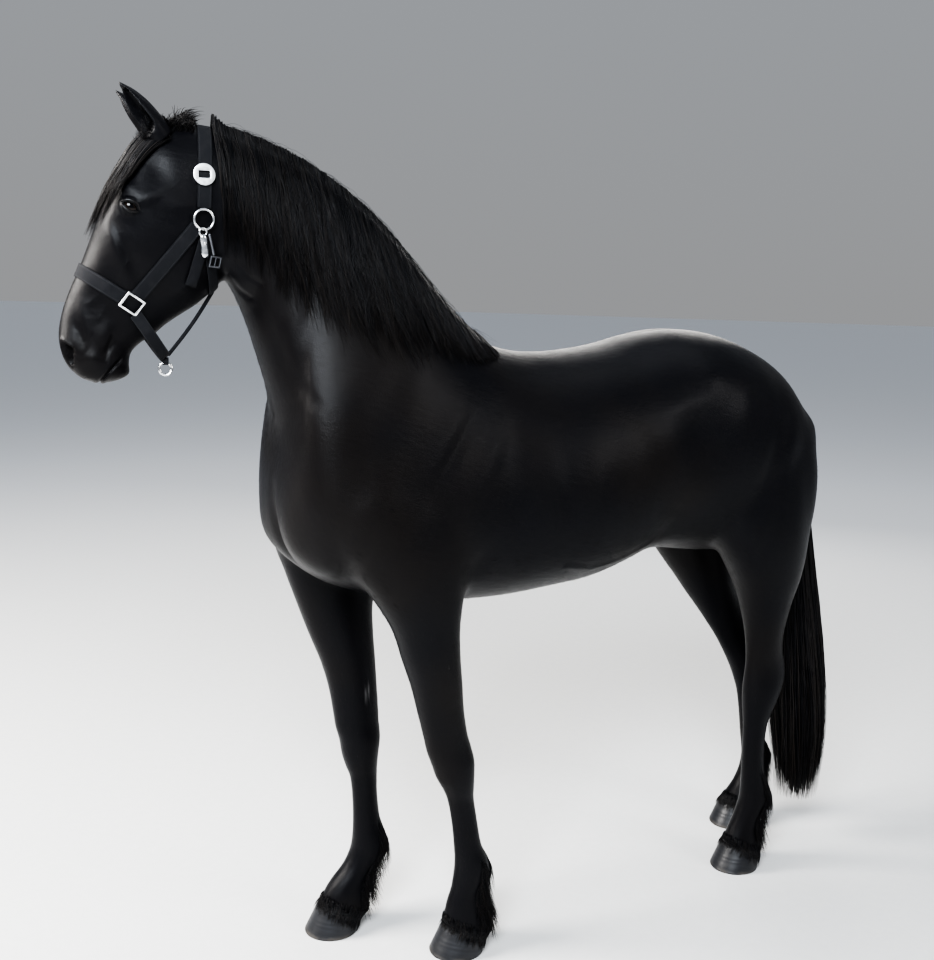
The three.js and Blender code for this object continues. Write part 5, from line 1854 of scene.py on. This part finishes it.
def metal_finish(name, colour, rough):
    metal = Finish(name)
    scratch = metal.noise(metal.stretched((0.006, 0.0007, 0.0007), (0.3, 0.6, 0.2)), 1.0, 2.0, 0.6)
    dull = metal.noise(metal.place(), 90.0, 3.0, 0.6)
    darker = tuple(0.62 * c for c in colour)
    metal.set(Base_Color=metal.mix(metal.band(dull, 0.5, 0.8) * 0.6, colour, darker), Metallic=1.0)
    metal.set(Roughness=rough + 0.16 * metal.band(dull, 0.35, 0.75) + 0.08 * scratch)
    metal.bump(scratch, 0.12, 0.0003)
    return metal.material


STEEL = metal_finish("bright_steel", (0.78, 0.79, 0.80), 0.12)
DARK_STEEL = metal_finish("worn_dark_steel", (0.16, 0.165, 0.18), 0.3)
ALUMINIUM = metal_finish("satin_aluminium", (0.86, 0.87, 0.88), 0.3)

for side, word in ((-1, "left"), (1, "right")):
    where = seat(*RING_AT, side, RING_BAR + 7.1)
    work = torus(RING_RADIUS, RING_BAR)
    fitting("ring_" + word, work, where, STEEL, ["halter_ring_" + word])
upright = Matrix.Translation((LEAD_RING_AT[0], 0, LEAD_RING_AT[1])) @ Matrix.Rotation(math.pi / 2, 4, "X")
fitting("lead_ring", torus(LEAD_RING_RADIUS, RING_BAR), upright, STEEL, ["halter_lead_ring"])
print("rings made")

# %% [markdown]
# ## Webbing
# The halter is cut from charcoal webbing, doubled and stitched along both edges. A strap follows the
# skin: for each point of a grid a ray is cast at the head, and the grid is laid on what it hits.
# Solidify then gives it its thickness and Bevel its rounded edges.

# %% Webbing finish
SEAM_AT = 0.0122


def webbing_finish():
    web = Finish("charcoal_webbing")

    def worked(operation, value):
        return web.node("ShaderNodeMath", {"operation": operation}, {0: value})

    along_strap = web.attribute("strap_length")
    across_strap = web.attribute("strap_cross")
    ribs = worked("SINE", along_strap * 3600.0)
    cords = worked("SINE", across_strap * 4200.0)
    weave = ribs * cords * 0.5 + 0.5
    edge = worked("ABSOLUTE", worked("ABSOLUTE", across_strap) - SEAM_AT)
    dash = web.band(worked("SINE", along_strap * 1700.0), -0.35, 0.1)
    stitch = (1 - web.band(edge, 0.0004, 0.0010)) * dash
    worn = web.noise(web.place(), 34.0, 4.0, 0.6)
    colour = web.mix(weave, (0.0054, 0.0057, 0.0072), (0.0116, 0.0121, 0.0146))
    colour = web.mix(web.band(worn, 0.45, 0.75) * 0.5, colour, (0.019, 0.0187, 0.0205))
    colour = web.mix(stitch * 0.8, colour, (0.030, 0.030, 0.032))
    web.set(Base_Color=colour, Roughness=0.62 + 0.2 * worn - 0.15 * stitch)
    web.set(Specular_IOR_Level=0.15, Sheen_Weight=0.03, Sheen_Roughness=0.4)
    web.bump(weave * 0.6 + stitch * 1.1, 0.6, 0.0009)
    return web.material


WEBBING = webbing_finish()


def laid_strap(name, hits, width, node, thick=3.5, gap=1.2):
    """A strap on the skin; hits(place along it, share across it) gives a point and its outward way."""
    work = bmesh.new()
    rows, columns = 72, 6
    bmesh.ops.create_grid(work, x_segments=columns, y_segments=rows, size=0.5)
    keep = []
    for vert in work.verts:
        spot, way = hits(vert.co.y + 0.5, vert.co.x)
        keep.append((vert.co.y + 0.5, vert.co.x * width))
        vert.co = spot + way * gap
    bmesh.ops.recalc_face_normals(work, faces=work.faces)
    middle, outward = hits(0.5, 0.0)
    centre_face = min(work.faces, key=lambda face: (face.calc_center_median() - middle).length)
    if centre_face.normal.dot(outward) < 0:
        bmesh.ops.reverse_faces(work, faces=work.faces)
    strap = merged(name, [work])
    middle_row = points_of(strap.data).reshape(rows + 1, columns + 1, 3)[:, columns // 2]
    long = np.linalg.norm(np.diff(middle_row, axis=0), axis=1).sum()
    note(strap.data, "strap_length", [place * long * MM for place, cross in keep])
    note(strap.data, "strap_cross", [cross * MM for place, cross in keep])
    wall = strap.modifiers.new("wall", "SOLIDIFY")
    wall.thickness = thick
    wall.offset = 1
    soft = strap.modifiers.new("soft_edge", "BEVEL")
    soft.width = 0.7
    soft.segments = 2
    soft.limit_method = "ANGLE"
    settle(strap)
    into_place(strap, WEBBING)
    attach(strap, "root")
    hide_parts(node)
    print(name, "is", round(long), "mm long")


def round_hits(start, end, middle, width):
    """Rays in planes across the head, turned from one side over the middle to the other."""
    start = Vector((start[0], 0, start[1]))
    end = Vector((end[0], 0, end[1]))
    up = (end - start).normalized()
    cross = up.cross(Vector((0, 1, 0)))
    middle = Vector((middle[0], 0, middle[1]))

    def hits(place, side):
        turn = math.pi / 2 * (2 * place - 1)
        way = up * math.cos(turn) + Vector((0, 1, 0)) * math.sin(turn)
        origin = middle + cross * (side * width)
        spot = tree.ray_cast(origin + way * 400, -way, 500)[0]
        return (spot, way) if spot is not None else (origin + way * 90, way)

    return hits


def side_hits(start, end, side, width):
    """Rays straight at one side of the head."""
    start = Vector((start[0], 0, start[1]))
    end = Vector((end[0], 0, end[1]))
    run = (end - start).normalized()
    cross = run.cross(Vector((0, 1, 0)))

    def hits(place, share):
        spot = start.lerp(end, place) + cross * (share * width)
        hit = tree.ray_cast(Vector((spot.x, side * 400, spot.z)), Vector((0, -side, 0)), 400)
        return hit[0], Vector((0, side, 0))

    return hits


clear = RING_RADIUS - 1
cheek = Vector((SQUARE_AT[0] - RING_AT[0], SQUARE_AT[1] - RING_AT[1]))
cheek_run = cheek.normalized()
nose_run = Vector((NOSE_AT[0] - SQUARE_AT[0], NOSE_AT[1] - SQUARE_AT[1])).normalized()
crown_start = (RING_AT[0], RING_AT[1] + clear)
crown_hits = round_hits(crown_start, (RING_AT[0] + 10, 2120), (-505, 1884), STRAP_WIDTH)
laid_strap("crown", crown_hits, STRAP_WIDTH, "halter_crown")
for side, word in ((-1, "left"), (1, "right")):
    start = Vector(RING_AT) + cheek_run * clear
    end = Vector(RING_AT) + cheek_run * (cheek.length - 17)
    cheek_hits = side_hits(start, end, side, STRAP_WIDTH)
    laid_strap("cheek_" + word, cheek_hits, STRAP_WIDTH, "halter_cheek_" + word)
nose_middle = Vector(SQUARE_AT) + nose_run * 21
nose_hits = round_hits(SQUARE_AT, (-850, 1790), tuple(nose_middle), STRAP_WIDTH)
laid_strap("noseband", nose_hits, STRAP_WIDTH, "halter_noseband")
throat_start = (RING_AT[0] + 4, RING_AT[1] - clear)
throat_hits = round_hits(throat_start, (-468, 1660), throat_start, THROAT_STRAP_WIDTH)
laid_strap("throat_strap", throat_hits, THROAT_STRAP_WIDTH, "halter_throat_strap")
throat_low, throat_way = throat_hits(0.5, 0.0)
tongue_hits = side_hits((-506, 1812), (-534, 1714), -1, TONGUE_WIDTH)
laid_strap("tongue", tongue_hits, TONGUE_WIDTH, "halter_tongue", thick=2.6, gap=5.2)

# %% [markdown]
# ## Hanging straps
# The chin strap hangs free below the jaw, laid along a smooth line of points. A thin rolled strap
# joins it to the throat strap, and a short loop of webbing holds the lead ring to it.

# %% Chin strap and rolled strap
def finish_edges(thing):
    shade_smooth(thing)
    thing.data.set_sharp_from_angle(angle=math.radians(50))


def made_points(result):
    """The points among what an operator made."""
    return [part for part in result["geom"] if isinstance(part, bmesh.types.BMVert)]


CHIN_HALF = [(-652, 64, 1648), (-622, 56, 1604), (-596, 30, 1566)]
chin_left = [(x, -y, z) for x, y, z in CHIN_HALF]
chin_line = chin_left + [(-584, 0, 1550)] + CHIN_HALF[::-1]


def chin_hits(place, share):
    places = [place, max(place - 0.01, 0), min(place + 0.01, 1)]
    spot, before, after = along(chin_line, places)
    outward = unit(np.array([0.5, spot[1] / 50, -0.6]))
    cross = unit(np.cross(after - before, outward))
    way = unit(np.cross(cross, after - before))
    way = way if way @ outward > 0 else -way
    return Vector(spot + cross * share * CHIN_STRAP_WIDTH), Vector(way)


laid_strap("chin_strap", chin_hits, CHIN_STRAP_WIDTH, "halter_chin_strap", gap=-1.8)
ROLLED_ENDS = (throat_low + throat_way * 2, Vector((-578, 0, 1555)))


def rolled_strap_shape(place, angle):
    run = ROLLED_ENDS[1] - ROLLED_ENDS[0]
    flat = np.array(run.normalized().cross(Vector((0, 1, 0))))
    aside = np.array([0, 1, 0])
    middle = np.array(ROLLED_ENDS[0]) + np.array(run) * place[:, None]
    middle = middle + flat * (4 * np.sin(math.pi * place))[:, None]
    seam = -0.7 * np.exp(-(((angle - math.pi) / 0.16) ** 2))
    radius = 4.6 + 0.3 * np.cos(angle * 2 + 3) + seam
    round_it = flat * (radius * np.cos(angle))[:, None] + aside * (radius * np.sin(angle))[:, None]
    return middle + round_it


rolled_strap = merged("rolled_strap", [rolled(60, 24, rolled_strap_shape)])
points = points_of(rolled_strap.data)
note(rolled_strap.data, "strap_length", (1700 - points[:, 2]) * 1.28 * MM)
note(rolled_strap.data, "strap_cross", points[:, 1] * MM)
into_place(rolled_strap, WEBBING)
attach(rolled_strap, "root")
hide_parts("halter_rolled_strap")
tab = bmesh.new()
bmesh.ops.create_circle(tab, segments=40, radius=5.2)
flatten = Matrix.Rotation(math.pi / 2, 4, "Y") @ Matrix.Diagonal((1.5, 1, 1, 1))
bmesh.ops.transform(tab, matrix=Matrix.Translation((-591, 0, 1541.5)) @ flatten, verts=tab.verts)
pushed = bmesh.ops.extrude_edge_only(tab, edges=tab.edges[:])
bmesh.ops.translate(tab, vec=(14, 0, 0), verts=made_points(pushed))
bmesh.ops.recalc_face_normals(tab, faces=tab.faces)
ring_tab = merged("ring_tab", [tab])
points = points_of(ring_tab.data)
note(ring_tab.data, "strap_length", points[:, 1] * MM)
note(ring_tab.data, "strap_cross", (points[:, 0] + 584) * 1.6 * MM)
wall = ring_tab.modifiers.new("wall", "SOLIDIFY")
wall.thickness = 1.8
wall.offset = 0
settle(ring_tab)
into_place(ring_tab, WEBBING)
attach(ring_tab, "root")
finish_edges(ring_tab)
print("hanging straps made, the ring's tab", round(ring_tab.dimensions.z * 1000, 1), "mm high")

# %% [markdown]
# ## Metal fittings
# Square rings join cheek strap, noseband and chin strap; round slides sit on the crown; on the left
# a snap hook and a buckle hang from the ring.

# %% Frames, slides and snap
def thicken(work, deep):
    """Gives a flat shape its depth, half of it to each side."""
    pushed = bmesh.ops.extrude_face_region(work, geom=work.faces[:])
    bmesh.ops.translate(work, vec=(0, 0, deep), verts=made_points(pushed))
    bmesh.ops.translate(work, vec=(0, 0, -deep / 2), verts=work.verts)
    bmesh.ops.recalc_face_normals(work, faces=work.faces)


def round_edges(work, steep, offset):
    """Rounds every edge whose faces meet at more than the angle."""
    bmesh.ops.bevel(
        work,
        geom=[edge for edge in work.edges if edge.calc_face_angle(0) > steep],
        offset=offset,
        offset_type="OFFSET",
        segments=3,
        profile=0.5,
        affect="EDGES",
        material=-1,
    )


def window_frame(long, high, bar, deep):
    """A rectangular frame of rounded bar."""
    work = bmesh.new()
    bmesh.ops.create_grid(work, x_segments=1, y_segments=1, size=0.5)
    bmesh.ops.scale(work, vec=(long, high, 1), verts=work.verts)
    bmesh.ops.inset_region(work, faces=work.faces[:], thickness=bar, use_even_offset=True, use_boundary=True)
    centre = min(work.faces, key=lambda face: face.calc_center_median().length)
    bmesh.ops.delete(work, geom=[centre], context="FACES_ONLY")
    thicken(work, deep)
    round_edges(work, 0.5, min(bar, deep) * 0.36)
    return work


def slide_disc(radius, thick, slot):
    """A round slide with a slot through its middle."""
    work = bmesh.new()
    bmesh.ops.create_circle(work, segments=64, radius=radius)
    inner = bmesh.ops.create_grid(work, x_segments=1, y_segments=1, size=0.5)
    bmesh.ops.scale(work, vec=(slot[0], slot[1], 1), verts=inner["verts"])
    bmesh.ops.delete(work, geom=work.faces[:], context="FACES_ONLY")
    rim = [edge for edge in work.edges if all(vert in inner["verts"] for vert in edge.verts)]
    bmesh.ops.subdivide_edges(work, edges=rim, cuts=15)
    bmesh.ops.bridge_loops(work, edges=work.edges[:])
    thicken(work, thick)
    round_edges(work, 0.9, 0.7)
    return work


for side, word in ((-1, "left"), (1, "right")):
    where = seat(*SQUARE_AT, side, 8.2, side * 0.6)
    work = window_frame(46, 40, 5, 5)
    square = fitting("square_" + word, work, where, STEEL, ["halter_square_" + word])
    finish_edges(square)
    where = seat(RING_AT[0] + 3, 1955, side, 8.2)
    work = slide_disc(24, 3.2, (25, 16))
    disc = fitting("disc_" + word, work, where, ALUMINIUM, ["halter_disc_" + word])
    finish_edges(disc)


def capsule(length, radius):
    """A flattened rod with round ends and a slight waist."""

    def shape(place, angle):
        z = (place - 0.5) * (length + 2 * radius)
        over = np.maximum(np.abs(z) - length / 2, 0)
        round_ = np.sqrt(np.maximum(radius**2 - over**2, 0.01))
        waist = 1 - 0.1 * np.exp(-((z / 9) ** 2))
        return np.stack([round_ * waist * np.cos(angle), z, 0.62 * round_ * np.sin(angle)], 1)

    return rolled(48, 28, shape)


def buckle_bar(place, angle):
    return np.stack([1.5 * np.cos(angle), (place - 0.5) * 25, 1.5 * np.sin(angle)], 1)


snap = capsule(34, 9)
add_work(snap, ball((0, 5, 5.4), (2.8, 3.4, 1.5)))
swivel = torus(8.5, 2.2)
bmesh.ops.transform(swivel, matrix=Matrix.Translation((0, 30, 0)), verts=swivel.verts)
add_work(snap, swivel)
where = seat(-511, 1803, -1, 17, 0.12)
snap_hook = fitting("snap_hook", snap, where, STEEL, ["halter_snap"])
finish_edges(snap_hook)
work = window_frame(30, 26, 3.6, 4.2)
add_work(work, rolled(8, 12, buckle_bar))
link = capsule(46, 3.2)
hung = Matrix.Translation((-18, 37, 0)) @ Matrix.Rotation(0.47, 4, "Z")
bmesh.ops.transform(link, matrix=hung, verts=link.verts)
add_work(work, link)
where = seat(-487, 1772, -1, 15, -0.2)
buckle = fitting("buckle", work, where, DARK_STEEL, ["halter_buckle"])
finish_edges(buckle)
print("fittings made")

# %% [markdown]
# ## The skin takes its place
# The rays no longer need the straight skin, so it is turned as the hair was, and it stands for all
# the flesh solids.

# %% Skin in place
move_points(skin.data, placed(straight))
flesh_nodes = ["torso", "neck", "head", "ear_left", "ear_right"]
flesh_nodes += [leg + part for leg in LEGS for part in ("_upper_leg", "_lower_leg")]
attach(skin, "root")
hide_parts(*flesh_nodes)
print("the skin stands for", len(flesh_nodes), "solids")

# %% [markdown]
# ## Floor, light and camera
# The floor is flat and pale, and paler still far away. Of the five soft lights one stands ahead of
# the horse on its right, one high on its left for the sky, one by its left hind quarter, one above
# its back, and one behind it draws the edge of the black coat. The camera stands at a grown
# person's eye height.

# %% Studio
def studio_finish():
    pale = Finish("pale_floor")
    speck = pale.noise(pale.place(), 30.0, 3.0, 0.6)
    far = pale.node("ShaderNodeVectorMath", {"operation": "LENGTH"}, {0: pale.place()}, 1)
    near_tone = pale.mix(speck, (0.61, 0.61, 0.605), (0.66, 0.66, 0.655))
    pale.set(Base_Color=pale.mix(pale.band(far, 2.4, 9.0), near_tone, (0.93, 0.94, 0.96)))
    pale.set(Roughness=0.9, Specular_IOR_Level=0.2)
    return pale.material


CAMERA_AT = Vector((-1.6855, -2.562, 1.72))
CAMERA_AHEAD = Vector((0.510, 0.860, 0)).normalized()
CAMERA_PITCH = math.radians(9.21)
CAMERA_ROLL = math.radians(1.8)
floor_work = bmesh.new()
bmesh.ops.create_grid(floor_work, x_segments=60, y_segments=60, size=90)
floor = merged("floor", [floor_work])
floor.data.materials.append(studio_finish())
floor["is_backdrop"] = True

world = bpy.data.worlds.new("soft_room")
bpy.context.scene.world = world
world.use_nodes = True
room = world.node_tree.nodes
background = room["Background"]
background.inputs["Strength"].default_value = 0.35
way = room.new("ShaderNodeTexCoord")
parts = room.new("ShaderNodeSeparateXYZ")
rise = room.new("ShaderNodeMapRange")
rise.inputs["From Min"].default_value = 0.0
rise.inputs["From Max"].default_value = 0.5
tone = room.new("ShaderNodeMix")
tone.data_type = "RGBA"
tone.inputs[6].default_value = (0.80, 0.81, 0.83, 1)
tone.inputs[7].default_value = (0.84, 0.90, 0.98, 1)
join = world.node_tree.links.new
join(way.outputs["Generated"], parts.inputs["Vector"])
join(parts.outputs["Z"], rise.inputs["Value"])
join(rise.outputs["Result"], tone.inputs[0])
join(tone.outputs[2], background.inputs["Color"])
bpy.context.scene.view_settings.look = "AgX - High Contrast"


def soft_light(name, spot, target, size, power, colour):
    lamp = bpy.data.lights.new(name, "AREA")
    lamp.shape = "RECTANGLE"
    lamp.size, lamp.size_y = size
    lamp.energy = power
    lamp.color = colour
    thing = bpy.data.objects.new(name, lamp)
    bpy.context.scene.collection.objects.link(thing)
    thing.location = spot
    thing.rotation_euler = (Vector(target) - Vector(spot)).to_track_quat("-Z", "Y").to_euler()


# name, where it hangs, what it looks at, its size, its power and its colour
LIGHTS = [
    ("key", (-4.2, 1.6, 3.6), (-0.3, 0, 1.2), (2.6, 2.4), 640, (1.0, 0.97, 0.93)),
    ("sky", (-3.4, -3.8, 4.4), (0.2, 0, 1.1), (2.6, 2.0), 640, (0.90, 0.95, 1.0)),
    ("flank", (2.8, -4.4, 3.6), (0.4, 0, 1.0), (1.8, 1.6), 100, (1.0, 0.98, 0.96)),
    ("top", (0.4, 0.6, 5.2), (0.0, 0, 1.0), (4.0, 1.8), 48, (0.93, 0.97, 1.0)),
    ("edge", (3.6, 4.0, 3.0), (0.2, 0, 1.3), (2.2, 2.2), 72, (1.0, 0.97, 0.93)),
]
for light in LIGHTS:
    soft_light(*light)

lens = bpy.data.cameras.new("camera")
lens.lens = 43.5
lens.sensor_width = 36
lens.clip_end = 100
camera = bpy.data.objects.new("camera", lens)
bpy.context.scene.collection.objects.link(camera)
bpy.context.scene.camera = camera
ahead = CAMERA_AHEAD * math.cos(CAMERA_PITCH) - Vector((0, 0, math.sin(CAMERA_PITCH)))
right = ahead.cross(Vector((0, 0, 1))).normalized()
up = right.cross(ahead)
level = Matrix((right, up, -ahead)).transposed()
camera.matrix_world = Matrix.Translation(CAMERA_AT) @ (level @ Matrix.Rotation(CAMERA_ROLL, 3, "Z")).to_4x4()
print("camera stands", round(CAMERA_AT.z, 2), "m high")

# %% Sizes and finish
low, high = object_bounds()
solids_box = [round(value, 3) for value in (*cad_low, *cad_high)]
dressed_box = [round(value, 3) for value in (*low, *high)]
print("solids", solids_box, "dressed", dressed_box)
